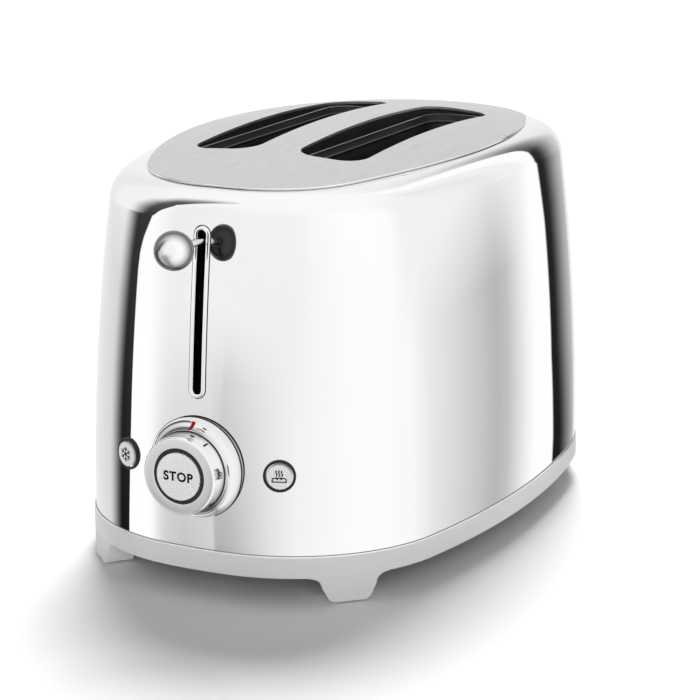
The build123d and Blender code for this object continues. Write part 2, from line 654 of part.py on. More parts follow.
def make_carriage():
    """Pressed carriage: plate, two bushes on the rods, lever tongue and keeper foot."""
    back, face = -CARRIAGE_Y, -CARRIAGE_Y - CARRIAGE_GAUGE
    plate = block(-CARRIAGE_WIDTH / 2, CARRIAGE_WIDTH / 2, face, back, CARRIAGE_BOTTOM, CARRIAGE_TOP)
    window = RectangleRounded(ROD_SPACING - 30, CARRIAGE_HEIGHT - 30, 4)
    plane = Plane((0, back, CARRIAGE_BOTTOM + CARRIAGE_HEIGHT / 2 - 2), x_dir=(1, 0, 0), z_dir=(0, -1, 0))
    plate -= extrude(plane * window, amount=5, both=True)
    bore = ROD_DIAMETER + 2 * RUNNING_FIT
    for side in (-1, 1):
        plate += rod_between(side * ROD_X, -ROD_Y, CARRIAGE_BOTTOM, CARRIAGE_TOP, bore + 2 * BUSH_WALL)
    tongue = block(-TONGUE_WIDTH / 2, TONGUE_WIDTH / 2, face - TONGUE_LENGTH, face,
                   LEVER_HEIGHT - STEM_DIAMETER / 2 - CARRIAGE_GAUGE, LEVER_HEIGHT - STEM_DIAMETER / 2)
    foot = block(-KEEPER_WIDTH / 2, KEEPER_WIDTH / 2, face - KEEPER_DEPTH - 1, face,
                 CARRIAGE_BOTTOM, CARRIAGE_BOTTOM + CARRIAGE_GAUGE)
    hook = block(SPRING_OFFSET - 4, SPRING_OFFSET + 4, face - 9, face,
                 SPRING_BOTTOM - CARRIAGE_GAUGE, SPRING_BOTTOM)
    plate = plate + tongue + foot + hook
    for side in (-1, 1):
        plate -= rod_between(side * ROD_X, -ROD_Y, CARRIAGE_BOTTOM - 1, CARRIAGE_TOP + 1, bore)
    return plate


SPRING_TOP = CHASSIS_TOP - CHASSIS_GAUGE
SPRING_BOTTOM = SPRING_TOP - SPRING_LENGTH
SPRING_Y = CARRIAGE_Y + CARRIAGE_GAUGE + SPRING_DIAMETER / 2 + 0.6


def make_return_spring():
    """Lift spring between the carriage's hook and the chassis shelf, as its outer tube."""
    return (rod_between(SPRING_OFFSET, -SPRING_Y, SPRING_BOTTOM, SPRING_TOP, SPRING_DIAMETER)
            - rod_between(SPRING_OFFSET, -SPRING_Y, SPRING_BOTTOM - 1, SPRING_TOP + 1,
                          SPRING_DIAMETER - 2 * SPRING_WALL))


def make_guide_rod(side):
    """Polished rod from the base plate to the chassis shelf."""
    return rod_between(side * ROD_X, -ROD_Y, BASE_PLATE_TOP, CHASSIS_TOP, ROD_DIAMETER)


def make_bread_rack(side):
    """Rack under one slice: a web on edge with cross wings that cradle the bread."""
    x = side * SLOT_X
    low = RACK_TOP - RACK_HEIGHT
    web = block(x - RACK_WEB / 2, x + RACK_WEB / 2, -CARRIAGE_Y, CHASSIS_OUTER + TAB_REACH, low, RACK_TOP)
    for place in range(RACK_WINGS):
        y = (place - (RACK_WINGS - 1) / 2) * RACK_PITCH
        wing = Pos(x, y, RACK_TOP - RACK_WING_DROP) * Box(RACK_WING, RACK_WING_LENGTH, RACK_WEB)
        web += wing
    return web


def make_lever_stem():
    """Round stem from the carriage's tongue through the slot into the ball."""
    plane = Plane((0, 0, LEVER_HEIGHT), x_dir=(1, 0, 0), z_dir=(0, -1, 0))
    start = CARRIAGE_Y + CARRIAGE_GAUGE + TONGUE_LENGTH / 2
    return round_bar(plane, start, BALL_Y, STEM_DIAMETER)


def make_lever_ball():
    """Ball knob with a short neck, bored for the stem."""
    plane = Plane((0, 0, LEVER_HEIGHT), x_dir=(1, 0, 0), z_dir=(0, -1, 0))
    back = BALL_Y - BALL_DIAMETER / 2
    ball = Pos(0, -BALL_Y, LEVER_HEIGHT) * Rot(90, 0, 0) * Sphere(BALL_DIAMETER / 2)
    ball += round_bar(plane, back - BALL_NECK_LENGTH, back + 2, BALL_NECK_DIAMETER)
    return ball - round_bar(plane, back - 5, BALL_Y, STEM_DIAMETER)


def make_lever_bezel():
    """Bright frame round the lever slot, following the curve of the wall."""
    outer = slot_prism(BEZEL_OUTER, LEVER_SLOT_BOTTOM - BEZEL_LAND, LEVER_SLOT_TOP + BEZEL_LAND)
    sleeve = slot_prism(SLEEVE_OUTER, LEVER_SLOT_BOTTOM - BEZEL_SLEEVE, LEVER_SLOT_TOP + BEZEL_SLEEVE)
    flange = (outer & walls(SHELL_STEP - BEZEL_PROUD)) - walls(SHELL_STEP)
    sleeve = (sleeve & walls(SHELL_STEP)) - walls(SHELL_STEP + BEZEL_DEPTH)
    opening = slot_prism(LEVER_SLOT_WIDTH, LEVER_SLOT_BOTTOM, LEVER_SLOT_TOP)
    return flange + sleeve - opening


def make_latch_magnet():
    """U-shaped core of the magnet that holds the carriage down."""
    y = -(CARRIAGE_Y + CARRIAGE_GAUGE + 1 + KEEPER_DEPTH / 2)
    top = CARRIAGE_BOTTOM - LEVER_TRAVEL - KEEPER_GAUGE - SLIDE_GAP
    core = block(-MAGNET_WIDTH / 2, MAGNET_WIDTH / 2, y - MAGNET_DEPTH / 2, y + MAGNET_DEPTH / 2,
                 BASE_PLATE_TOP, top)
    gap = MAGNET_WIDTH / 2 - MAGNET_LEG
    return core - block(-gap, gap, y - 10, y + 10, BASE_PLATE_TOP + 3, top + 1)


def make_latch_coil():
    """Winding on one leg of the magnet, as its outer form."""
    y = -(CARRIAGE_Y + CARRIAGE_GAUGE + 1 + KEEPER_DEPTH / 2)
    x = MAGNET_WIDTH / 2 - MAGNET_LEG / 2
    low = BASE_PLATE_TOP + 3
    wide = MAGNET_LEG / 2 + SEAT_GAP
    deep = MAGNET_DEPTH / 2 + SEAT_GAP
    outer = block(x - wide - COIL_WALL, x + wide + COIL_WALL, y - deep - COIL_WALL, y + deep + COIL_WALL,
                  low, low + COIL_HEIGHT)
    return outer - block(x - wide, x + wide, y - deep, y + deep, low - 1, low + COIL_HEIGHT + 1)


def make_latch_keeper():
    """Steel keeper under the carriage's foot."""
    y = -(CARRIAGE_Y + CARRIAGE_GAUGE + 1 + KEEPER_DEPTH / 2)
    return block(-KEEPER_WIDTH / 2, KEEPER_WIDTH / 2, y - KEEPER_DEPTH / 2, y + KEEPER_DEPTH / 2,
                 CARRIAGE_BOTTOM - KEEPER_GAUGE, CARRIAGE_BOTTOM)


def cove_face(radius, neck, depth, sink):
    """Half section of the dial's fixed base: a hollow cove that narrows outwards."""
    bend = (neck + (radius - neck) * 0.26, depth * 0.42)
    edges = [Line((0, -sink), (radius, -sink)), Line((radius, -sink), (radius, 0.6)),
             ThreePointArc((radius, 0.6), bend, (neck, depth)), Line((neck, depth), (0, depth)),
             Line((0, depth), (0, -sink))]
    return make_face(Curve() + [e for part in edges for e in part.edges()])


def spun(plane, face):
    """Spin a half section, drawn as radius and distance out, about a plane's normal."""
    section = Plane(plane.origin, x_dir=plane.x_dir, z_dir=-plane.y_dir)
    return revolve(section * face, Axis(plane.origin, plane.z_dir), 360)


def make_dial_base():
    """Fixed flared base of the dial, seated on the wall, with its hub through the shell."""
    plane = front_axis(DIAL_HEIGHT, SHELL_STEP)
    base = spun(plane, cove_face(DIAL_BASE_DIAMETER / 2, DIAL_NECK_DIAMETER / 2, DIAL_BASE_DEPTH, 3))
    base -= walls(SHELL_STEP)
    base += round_bar(plane, -4, 3, DIAL_NECK_DIAMETER - 6)
    return base - round_bar(plane, -10, 20, KNOB_HUB_DIAMETER + 2 * MOVING_GAP)


def knob_front():
    """Distance of the knob's front face from the wall."""
    return DIAL_BASE_DEPTH + DIAL_GAP + KNOB_LENGTH


def make_dial_knob():
    """Turning knob with a counterbored front and a hollow spindle."""
    plane = front_axis(DIAL_HEIGHT, SHELL_STEP)
    back, front = DIAL_BASE_DEPTH + DIAL_GAP, knob_front()
    knob = tapered_bar(plane, back, front, KNOB_DIAMETER, KNOB_FRONT_DIAMETER)
    rim = knob.edges().filter_by(GeomType.CIRCLE).sort_by(Axis.Y)[0]
    knob = fillet(rim, KNOB_ROUND)
    knob += round_bar(plane, back + 1 - KNOB_HUB_LENGTH, back + 1, KNOB_HUB_DIAMETER)
    knob -= round_bar(plane, front - STOP_RING_DEPTH, front + 1, STOP_RING_OUTER)
    floor = front + STOP_PROUD - STOP_THICKNESS - STOP_TRAVEL - SLIDE_GAP
    knob -= round_bar(plane, floor, front + 1, STOP_RING_INNER)
    return knob - round_bar(plane, -KNOB_HUB_LENGTH, front, STOP_STEM_DIAMETER + 2 * SLIDE_GAP)


def make_stop_ring():
    """Dark trim ring let into the knob's front."""
    plane = front_axis(DIAL_HEIGHT, SHELL_STEP)
    start, stop = knob_front() - STOP_RING_DEPTH, knob_front() + STOP_RING_PROUD
    inside = round_bar(plane, start - 1, stop + 1, STOP_RING_INNER)
    return round_bar(plane, start, stop, STOP_RING_OUTER) - inside


def make_stop_button():
    """Stop button in the middle of the knob, its stem running back through the spindle."""
    plane = front_axis(DIAL_HEIGHT, SHELL_STEP)
    front = knob_front() + STOP_PROUD
    disc = round_bar(plane, front - STOP_THICKNESS, front, STOP_DIAMETER)
    disc = chamfer(disc.edges().filter_by(GeomType.CIRCLE).sort_by(Axis.Y)[0], CAP_CHAMFER)
    board = CONTROL_Y + BOARD_THICKNESS
    end = board + SWITCH_HEIGHT + STOP_TRAVEL + SEAT_GAP
    back = end - front_y(DIAL_HEIGHT, SHELL_STEP)
    return disc + round_bar(plane, back, front - STOP_THICKNESS + 0.5, STOP_STEM_DIAMETER)


def make_timer():
    """Hollow-shaft timer body on the control board, which carries the knob's spindle."""
    low = CONTROL_Y + BOARD_THICKNESS
    body = block(-TIMER_SIZE / 2, TIMER_SIZE / 2, -low - TIMER_DEPTH, -low,
                 DIAL_HEIGHT - TIMER_SIZE / 2, DIAL_HEIGHT + TIMER_SIZE / 2)
    body = fillet(body.edges().filter_by(Axis.Y), 3)
    plane = front_axis(DIAL_HEIGHT, SHELL_STEP)
    return body - round_bar(plane, -CHASSIS_INNER, 0, KNOB_HUB_DIAMETER + 2 * SPINDLE_FIT)


def make_stop_switch():
    """Small push switch on the board behind the stop button's stem."""
    low = CONTROL_Y + BOARD_THICKNESS
    half = SWITCH_SIZE / 2
    return block(-half, half, -low - SWITCH_HEIGHT, -low, DIAL_HEIGHT - half, DIAL_HEIGHT + half)


def make_control_board():
    """Upright circuit board behind the dial, with two feet that stand in the base posts."""
    low = CONTROL_BOTTOM
    board = block(-CONTROL_WIDTH / 2, CONTROL_WIDTH / 2, -CONTROL_Y - BOARD_THICKNESS, -CONTROL_Y,
                  low, low + CONTROL_HEIGHT)
    for side in (-1, 1):
        x = side * (CONTROL_WIDTH / 2 - 8)
        board += block(x - 5, x + 5, -CONTROL_Y - BOARD_THICKNESS, -CONTROL_Y, BASE_PLATE_TOP + 3, low + 1)
    return board


def make_board_post(side):
    """Moulded post on the base plate with a groove that holds the control board."""
    x = side * (CONTROL_WIDTH / 2 - 8)
    post = block(x - 7, x + 7, -CONTROL_Y - BOARD_THICKNESS - 3, -CONTROL_Y + 3,
                 BASE_PLATE_TOP, BASE_PLATE_TOP + 12)
    return post - block(x - 5 - SEAT_GAP, x + 5 + SEAT_GAP, -CONTROL_Y - BOARD_THICKNESS - SEAT_GAP,
                        -CONTROL_Y + SEAT_GAP, BASE_PLATE_TOP + 3, BASE_PLATE_TOP + 13)


def make_button_ring(side):
    """Dark trim ring of a side button with its sleeve through the shell."""
    plane = button_plane(side, SHELL_STEP)
    sleeve = BUTTON_RING_DIAMETER - 1.6
    ring = round_bar(plane, -2, BUTTON_RING_PROUD, BUTTON_RING_DIAMETER) - walls(SHELL_STEP)
    ring += round_bar(plane, -SHELL_GAUGE - 2.5, 0.4, sleeve)
    return ring - round_bar(plane, -10, 10, BUTTON_DIAMETER + 2 * MOVING_GAP)


def make_button(side):
    """Side push button: a round plunger with a stem."""
    plane = button_plane(side, SHELL_STEP)
    body = round_bar(plane, BUTTON_PROUD - BUTTON_LENGTH, BUTTON_PROUD, BUTTON_DIAMETER)
    body = chamfer(body.edges().filter_by(GeomType.CIRCLE).sort_by(Axis.Y)[0], CAP_CHAMFER)
    back = BUTTON_TRAVEL + SLIDE_GAP - POD_LENGTH + POD_WALL
    return body + round_bar(plane, back, BUTTON_PROUD - BUTTON_LENGTH + 0.5, BUTTON_STEM_DIAMETER)


def make_button_pod(side):
    """Switch housing clamped behind the shell by the ring's sleeve."""
    plane = button_plane(side, SHELL_STEP)
    sleeve = BUTTON_RING_DIAMETER - 1.6
    pod = round_bar(plane, -POD_LENGTH, 0, sleeve + 2 * POD_WALL)
    pod &= walls(SHELL_STEP + SHELL_GAUGE + SEAT_GAP)
    pod -= round_bar(plane, -SHELL_GAUGE - 2.5 - SEAT_GAP, 1, sleeve + 2 * SEAT_GAP)
    pod -= round_bar(plane, -POD_LENGTH + POD_WALL + 3.6, 1, BUTTON_DIAMETER + 2 * MOVING_GAP)
    return pod - round_bar(plane, -POD_LENGTH + POD_WALL, 1, BUTTON_STEM_DIAMETER + 2 * SLIDE_GAP)


def make_crumb_tray():
    """Folded sheet tray, open above, that slides out through the rear wall."""
    rear = front_y(TRAY_BOTTOM, SHELL_STEP) - TRAY_PULL_THICKNESS
    half = TRAY_WIDTH / 2
    front = -CHASSIS_INNER + MOVING_GAP
    inset = SHELL_STEP + TRAY_PULL_THICKNESS + wall_inset(TRAY_TOP)
    tray = block(-half, half, front, rear, TRAY_BOTTOM, TRAY_TOP)
    tray &= extrude(BODY.face(inset), amount=BODY_HEIGHT)
    room = block(-half + TRAY_WALL, half - TRAY_WALL, front + TRAY_WALL, rear,
                 TRAY_BOTTOM + TRAY_WALL, TRAY_TOP + 1)
    return tray - (room & extrude(BODY.face(inset + TRAY_WALL), amount=BODY_HEIGHT))


def make_tray_pull():
    """Tray front that closes the rear opening flush with the shell, with a finger recess."""
    pull = (pull_outline() & walls(SHELL_STEP)) - walls(SHELL_STEP + TRAY_PULL_THICKNESS)
    y = front_y(PULL_BOTTOM, SHELL_STEP)
    scoop = Pos(0, y + 0.8, PULL_BOTTOM + 1) * Rot(0, 90, 0) * Cylinder(TRAY_GRIP_DEPTH, TRAY_GRIP_WIDTH)
    return pull - (scoop - walls(SHELL_STEP + TRAY_PULL_THICKNESS - TRAY_WALL))


def make_cord_gland():
    """Strain-relief gland in the base plate: a flanged sleeve open for the cord."""
    gland = rod_between(GLAND_X, GLAND_Y, BASE_PLATE_BOTTOM - GLAND_DROP, BASE_PLATE_TOP + 4, GLAND_DIAMETER)
    gland += rod_between(GLAND_X, GLAND_Y, BASE_PLATE_TOP, BASE_PLATE_TOP + 2, GLAND_FLANGE)
    return gland - rod_between(GLAND_X, GLAND_Y, 0, 2 * BASE_PLATE_TOP, GLAND_BORE)


def make_terminal_block():
    """Mains terminal block beside the gland."""
    y = GLAND_Y + GLAND_FLANGE / 2 + 2
    body = block(GLAND_X - TERMINAL_WIDTH / 2, GLAND_X + TERMINAL_WIDTH / 2, y, y + TERMINAL_LENGTH,
                 BASE_PLATE_TOP, BASE_PLATE_TOP + TERMINAL_HEIGHT)
    body &= extrude(BODY.face(SHELL_STEP + SHELL_GAUGE + 1), amount=BODY_HEIGHT)
    for step in (-1, 0, 1):
        body -= rod_between(GLAND_X, y + TERMINAL_LENGTH / 2 + step * 6.5, BASE_PLATE_TOP + 8,
                            BASE_PLATE_TOP + TERMINAL_HEIGHT + 1, 4)
    return body


def make_cord_cleat(turn):
    """Hook under the base round which the cord is wound."""
    y = turn * CLEAT_SPACING
    wide = CLEAT_WIDTH / 2
    low = BASE_PLATE_BOTTOM - CLEAT_DROP
    post = block(-wide, wide, y - turn * CLEAT_POST, y, low, BASE_PLATE_BOTTOM)
    return post + block(-wide, wide, y - turn * CLEAT_POST, y + turn * CLEAT_LIP, low, low + CLEAT_WALL)


def make_parts():
    """Every piece of the toaster by its name, about the middle of the body."""
    parts = {"outer_shell": make_outer_shell(), "top_plate": make_top_plate(),
             "slot_frame": make_slot_frame(), "base_band": make_base_band(),
             "base_plate": make_base_plate(), "chassis_front": make_chassis(-1),
             "chassis_rear": make_chassis(1), "lever_bezel": make_lever_bezel(),
             "dial_base": make_dial_base(), "dial_knob": make_dial_knob(),
             "stop_ring": make_stop_ring(), "stop_button": make_stop_button(),
             "timer_body": make_timer(), "stop_switch": make_stop_switch(),
             "control_board": make_control_board(), "carriage": make_carriage(),
             "lever_stem": make_lever_stem(), "lever_ball": make_lever_ball(),
             "return_spring": make_return_spring(), "latch_keeper": make_latch_keeper(),
             "latch_magnet": make_latch_magnet(), "latch_coil": make_latch_coil(),
             "crumb_tray": make_crumb_tray(), "tray_pull": make_tray_pull(),
             "cord_gland": make_cord_gland(), "terminal_block": make_terminal_block()}
    for name, turns in CORNERS.items():
        parts[f"foot_pad_{name}"] = make_pad(*turns)
    for name, (x, way) in guard_positions().items():
        parts[f"bread_guard_{name}"] = make_guard(x, way)
    for name, (x, way) in board_positions().items():
        parts[f"heater_board_{name}"] = make_heater_board(x)
        parts[f"heater_ribbon_{name}"] = make_ribbon(x, way)
    for name, side in (("left", -1), ("right", 1)):
        parts[f"heat_shield_{name}"] = make_heat_shield(side)
        parts[f"guide_rod_{name}"] = make_guide_rod(side)
        parts[f"bread_rack_{name}"] = make_bread_rack(side)
        parts[f"board_post_{name}"] = make_board_post(side)
    for name, side in (("defrost", -1), ("reheat", 1)):
        parts[f"{name}_ring"] = make_button_ring(side)
        parts[f"{name}_button"] = make_button(side)
        parts[f"{name}_pod"] = make_button_pod(side)
    for name, turn in (("front", -1), ("rear", 1)):
        parts[f"cord_cleat_{name}"] = make_cord_cleat(turn)
    return parts


PARTS = {name: Pos(0, SHIFT, 0) * shape for name, shape in make_parts().items()}
os.makedirs("parts", exist_ok=True)
for name, shape in PARTS.items():
    export_step(shape, f"parts/{name}.step")
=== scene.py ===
"""Looks of a two-slice toaster: mirror-polished body, brushed plate, moulded band and satin controls."""
import json
import logging
import math
from dataclasses import dataclass, field
from enum import Enum
from typing import Callable, Iterable, Sequence

import bmesh
import bpy
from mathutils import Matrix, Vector
from mathutils.kdtree import KDTree


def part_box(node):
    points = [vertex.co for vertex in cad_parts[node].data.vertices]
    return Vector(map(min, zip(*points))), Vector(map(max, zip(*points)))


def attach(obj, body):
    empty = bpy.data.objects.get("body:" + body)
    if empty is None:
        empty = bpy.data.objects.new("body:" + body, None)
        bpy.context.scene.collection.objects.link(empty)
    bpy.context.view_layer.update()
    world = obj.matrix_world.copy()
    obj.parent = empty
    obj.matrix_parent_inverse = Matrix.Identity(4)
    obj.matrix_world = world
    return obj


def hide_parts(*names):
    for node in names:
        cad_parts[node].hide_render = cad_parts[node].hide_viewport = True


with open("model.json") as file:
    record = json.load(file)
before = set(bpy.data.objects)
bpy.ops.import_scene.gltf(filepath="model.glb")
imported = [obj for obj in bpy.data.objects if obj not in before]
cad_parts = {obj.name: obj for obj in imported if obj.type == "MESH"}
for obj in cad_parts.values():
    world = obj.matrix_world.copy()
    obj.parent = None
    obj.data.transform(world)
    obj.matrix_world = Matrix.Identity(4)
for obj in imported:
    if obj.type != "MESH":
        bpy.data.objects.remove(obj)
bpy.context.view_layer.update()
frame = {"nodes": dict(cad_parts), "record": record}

LOG = logging.getLogger("toaster")
# A millimetre in metres
MM = 0.001
# Lengths in millimetres: the step that slopes are worked out over, and how near counts as the same place
SLOPE_STEP = 0.01
SAME_PLACE = 0.02
# How well a face and a known normal agree before the normal is used
SAME_WAY = 0.9
# A capital's height as a share of its font size
CAPITAL = 0.7
# The body's middle along Y is taken from the band, which is as long as the body
BAND_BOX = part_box("base_band")
MIDDLE_Y = (BAND_BOX[0][1] + BAND_BOX[1][1]) / 2 / MM
# The nodes that new pieces stand for, filled by dress
REPLACED: set[str] = set()

Point = tuple[float, float, float]
Flat = tuple[float, float]
Graph = tuple[Flat, ...]
Faces = list[Sequence[int]]
Colour = tuple[float, float, float]
Drawn = tuple[list[Flat], Faces]
Socket = bpy.types.NodeSocket
Value = Socket | float
Paint = Socket | tuple[float, ...]
Thing = bpy.types.Object


class Grain(Enum):
    """Which way a brushed surface's fine lines run."""

    ALONG_X = (1.0, 40.0, 40.0)
    ALONG_Y = (40.0, 1.0, 40.0)
    ALONG_Z = (40.0, 40.0, 1.0)


class Sheet:
    """Short-hand for adding and joining nodes in one node tree."""

    def __init__(self, tree: bpy.types.NodeTree) -> None:
        """Args: tree: the node tree that is filled."""
        self.tree = tree

    def feed(self, node: bpy.types.Node, values: dict) -> None:
        """Give a node's inputs a value or another node's output.

        Args:
            node: the node.
            values: input name or number to a value or an output.
        """
        for key, value in values.items():
            if isinstance(value, Socket):
                self.tree.links.new(value, node.inputs[key])
            else:
                node.inputs[key].default_value = value

    def add(self, kind: str, values: dict | None = None, **settings) -> bpy.types.Node:
        """Add one node.

        Args:
            kind: the node's type name.
            values: input name or number to a value or to another node's output.
            settings: the node's own settings.

        Returns:
            The new node.
        """
        node = self.tree.nodes.new(kind)
        for key, value in settings.items():
            setattr(node, key, value)
        self.feed(node, values or {})
        return node

    def maths(self, operation: str, first: Value, second: Value = 0.0, clamp: bool = False) -> Socket:
        """One Math node; returns its output."""
        node = self.add("ShaderNodeMath", {0: first, 1: second}, operation=operation, use_clamp=clamp)
        return node.outputs[0]

    def times(self, first: Value, second: Value, clamp: bool = False) -> Socket:
        """Two values multiplied."""
        return self.maths("MULTIPLY", first, second, clamp)

    def spread(self, value: Value, low: Value, high: Value, to_low: float = 0.0, to_high: float = 1.0,
               kind: str = "LINEAR") -> Socket:
        """One clamped Map Range node; returns its output."""
        ends = {"Value": value, "From Min": low, "From Max": high, "To Min": to_low, "To Max": to_high}
        return self.add("ShaderNodeMapRange", ends, interpolation_type=kind).outputs["Result"]

    def blend(self, share: Value, first: Paint, second: Paint) -> Socket:
        """A colour that goes from first to second with share."""
        return self.add("ShaderNodeMix", {0: share, 6: first, 7: second}, data_type="RGBA").outputs[2]

    def place(self) -> Socket:
        """Object coordinates."""
        return self.add("ShaderNodeTexCoord").outputs["Object"]

    def noise(self, place: Socket, scale: Value, detail: float, roughness: float = 0.5) -> Socket:
        """One Noise Texture node; returns its value."""
        values = {"Vector": place, "Scale": scale, "Detail": detail, "Roughness": roughness}
        return self.add("ShaderNodeTexNoise", values).outputs["Fac"]

    def bump(self, strength: float, distance: float, height: Socket) -> Socket:
        """One Bump node; returns its normal."""
        values = {"Strength": strength, "Distance": distance, "Height": height}
        return self.add("ShaderNodeBump", values).outputs["Normal"]

    def effect(self, group: bpy.types.NodeTree, **values) -> bpy.types.bpy_prop_collection:
        """One shared effect with its own values; returns its outputs."""
        return self.add("ShaderNodeGroup", values, node_tree=group).outputs

    def graph(self, value: Socket, points: Graph, scale: float = 1.0) -> Socket:
        """A line graph of a value, held level past its ends.

        Args:
            value: the socket read along the graph.
            points: places and heights, in order.
            scale: the largest height, so that the ramp stays within 0 to 1.

        Returns:
            The height at the value.
        """
        low, high = points[0][0], points[-1][0]
        ramp = self.add("ShaderNodeValToRGB", {0: self.spread(value, low, high)})
        stops = ramp.color_ramp.elements
        while len(stops) < len(points):
            stops.new(0.5)
        for stop, (place, level) in zip(stops, points):
            stop.position = (place - low) / (high - low)
            stop.color = (level / scale,) * 3 + (1.0,)
        return self.times(ramp.outputs["Color"], scale)


def new_group(name: str, inputs: dict[str, float | Point],
              outputs: Sequence[str]) -> tuple[Sheet, bpy.types.bpy_prop_collection, bpy.types.Node]:
    """Start a shader node group.

    Args:
        name: the group's name.
        inputs: input name to its default.
        outputs: the outputs' names.

    Returns:
        The group's sheet, its input sockets and its output node.
    """
    tree = bpy.data.node_groups.new(name, "ShaderNodeTree")
    for label, default in inputs.items():
        kind = "NodeSocketVector" if isinstance(default, tuple) else "NodeSocketFloat"
        tree.interface.new_socket(label, in_out="INPUT", socket_type=kind).default_value = default
    for label in outputs:
        tree.interface.new_socket(label, in_out="OUTPUT", socket_type="NodeSocketFloat")
    sheet = Sheet(tree)
    return sheet, sheet.add("NodeGroupInput").outputs, sheet.add("NodeGroupOutput")


def smudge_group() -> bpy.types.NodeTree:
    """Group for handled metal: roughness that drifts in soft patches with a few fine streaks."""
    sheet, given, end = new_group("soft_smudges", {"Clear": 0.04, "Dull": 0.1, "Size": 18.0}, ["Roughness"])
    place = sheet.place()
    patch = sheet.noise(place, given["Size"], 3.0)
    fine = sheet.noise(place, sheet.times(given["Size"], 9.0), 2.0)
    share = sheet.spread(sheet.times(patch, sheet.spread(fine, 0.3, 0.7, 0.75)), 0.3, 0.62)
    span = sheet.maths("SUBTRACT", given["Dull"], given["Clear"])
    sheet.feed(end, {"Roughness": sheet.maths("ADD", sheet.times(share, span), given["Clear"])})
    return sheet.tree


def grain_group() -> bpy.types.NodeTree:
    """Group for brushed metal: long fine lines, as a height and as a mask."""
    sheet, given, end = new_group("brushed_grain", {"Stretch": Grain.ALONG_Y.value, "Density": 60.0},
                                  ["Height", "Mask"])
    stretched = {0: sheet.place(), 1: given["Stretch"]}
    drawn = sheet.add("ShaderNodeVectorMath", stretched, operation="MULTIPLY").outputs[0]
    lines = sheet.noise(drawn, given["Density"], 4.0, 0.65)
    broad = sheet.noise(drawn, sheet.times(given["Density"], 0.13), 2.0)
    mixed = sheet.times(lines, sheet.spread(broad, 0.3, 0.7, 0.8, 1.2))
    sheet.feed(end, {"Height": lines, "Mask": sheet.spread(mixed, 0.3, 0.7)})
    return sheet.tree


def skin_group() -> bpy.types.NodeTree:
    """Group for moulded parts: a very fine spark-eroded texture and a slow change of tone."""
    sheet, given, end = new_group("moulded_skin", {"Fineness": 2600.0}, ["Height", "Tone"])
    place = sheet.place()
    tone = sheet.spread(sheet.noise(place, 22.0, 2.0), 0.3, 0.7)
    sheet.feed(end, {"Height": sheet.noise(place, given["Fineness"], 2.0), "Tone": tone})
    return sheet.tree


def wear_group() -> bpy.types.NodeTree:
    """Group for edge wear: a broken mask along convex edges."""
    sheet, given, end = new_group("edge_wear", {"Amount": 0.5}, ["Mask"])
    edge = sheet.spread(sheet.add("ShaderNodeNewGeometry").outputs["Pointiness"], 0.52, 0.6)
    broken = sheet.times(edge, sheet.spread(sheet.noise(sheet.place(), 420.0, 3.0), 0.42, 0.62))
    sheet.feed(end, {"Mask": sheet.times(broken, given["Amount"], clamp=True)})
    return sheet.tree


def dust_group() -> bpy.types.NodeTree:
    """Group for dust and crumbs' grime: a mask that gathers on faces that look up."""
    sheet, given, end = new_group("settled_dust", {"Amount": 0.3}, ["Mask"])
    normal = sheet.add("ShaderNodeNewGeometry").outputs["Normal"]
    facing = sheet.add("ShaderNodeSeparateXYZ", {0: normal}).outputs["Z"]
    drift = sheet.spread(sheet.noise(sheet.place(), 60.0, 5.0, 0.7), 0.4, 0.7)
    lying = sheet.times(sheet.spread(facing, 0.2, 0.95), drift)
    sheet.feed(end, {"Mask": sheet.times(lying, given["Amount"], clamp=True)})
    return sheet.tree


SMUDGES, GRAIN, SKIN, WEAR, DUST = smudge_group(), grain_group(), skin_group(), wear_group(), dust_group()


def shade(colour: Colour, factor: float = 1.0, lift: float = 0.0) -> tuple[float, ...]:
    """A colour times a factor and lifted a little, with its alpha."""
    return tuple(min(1.0, factor * level + lift) for level in colour) + (1.0,)


def blank_material(name: str, metallic: float,
                   colour: Colour) -> tuple[bpy.types.Material, Sheet, bpy.types.Node]:
    """Start a material.

    Args:
        name: the material's name.
        metallic: 0 or 1.
        colour: the colour as light sees it.

    Returns:
        The material, its sheet and its Principled BSDF.
    """
    material = bpy.data.materials.new(name)
    material.use_nodes = True
    material.diffuse_color = shade(colour)
    sheet = Sheet(material.node_tree)
    shader = material.node_tree.nodes["Principled BSDF"]
    sheet.feed(shader, {"Metallic": metallic, "Base Color": shade(colour)})
    return material, sheet, shader


# Dark colour of the painted shade at a polished rim that turns away
PAINTED_RIM_SHADE: Colour = (0.02, 0.02, 0.022)
# Dark colour of the painted shade in a polished hollow
PAINTED_HOLLOW_SHADE: Colour = (0.03, 0.03, 0.032)
# Dark colour of the painted shade where a polished piece is mirrored
PAINTED_MIRRORED_SHADE: Colour = (0.01, 0.01, 0.01)


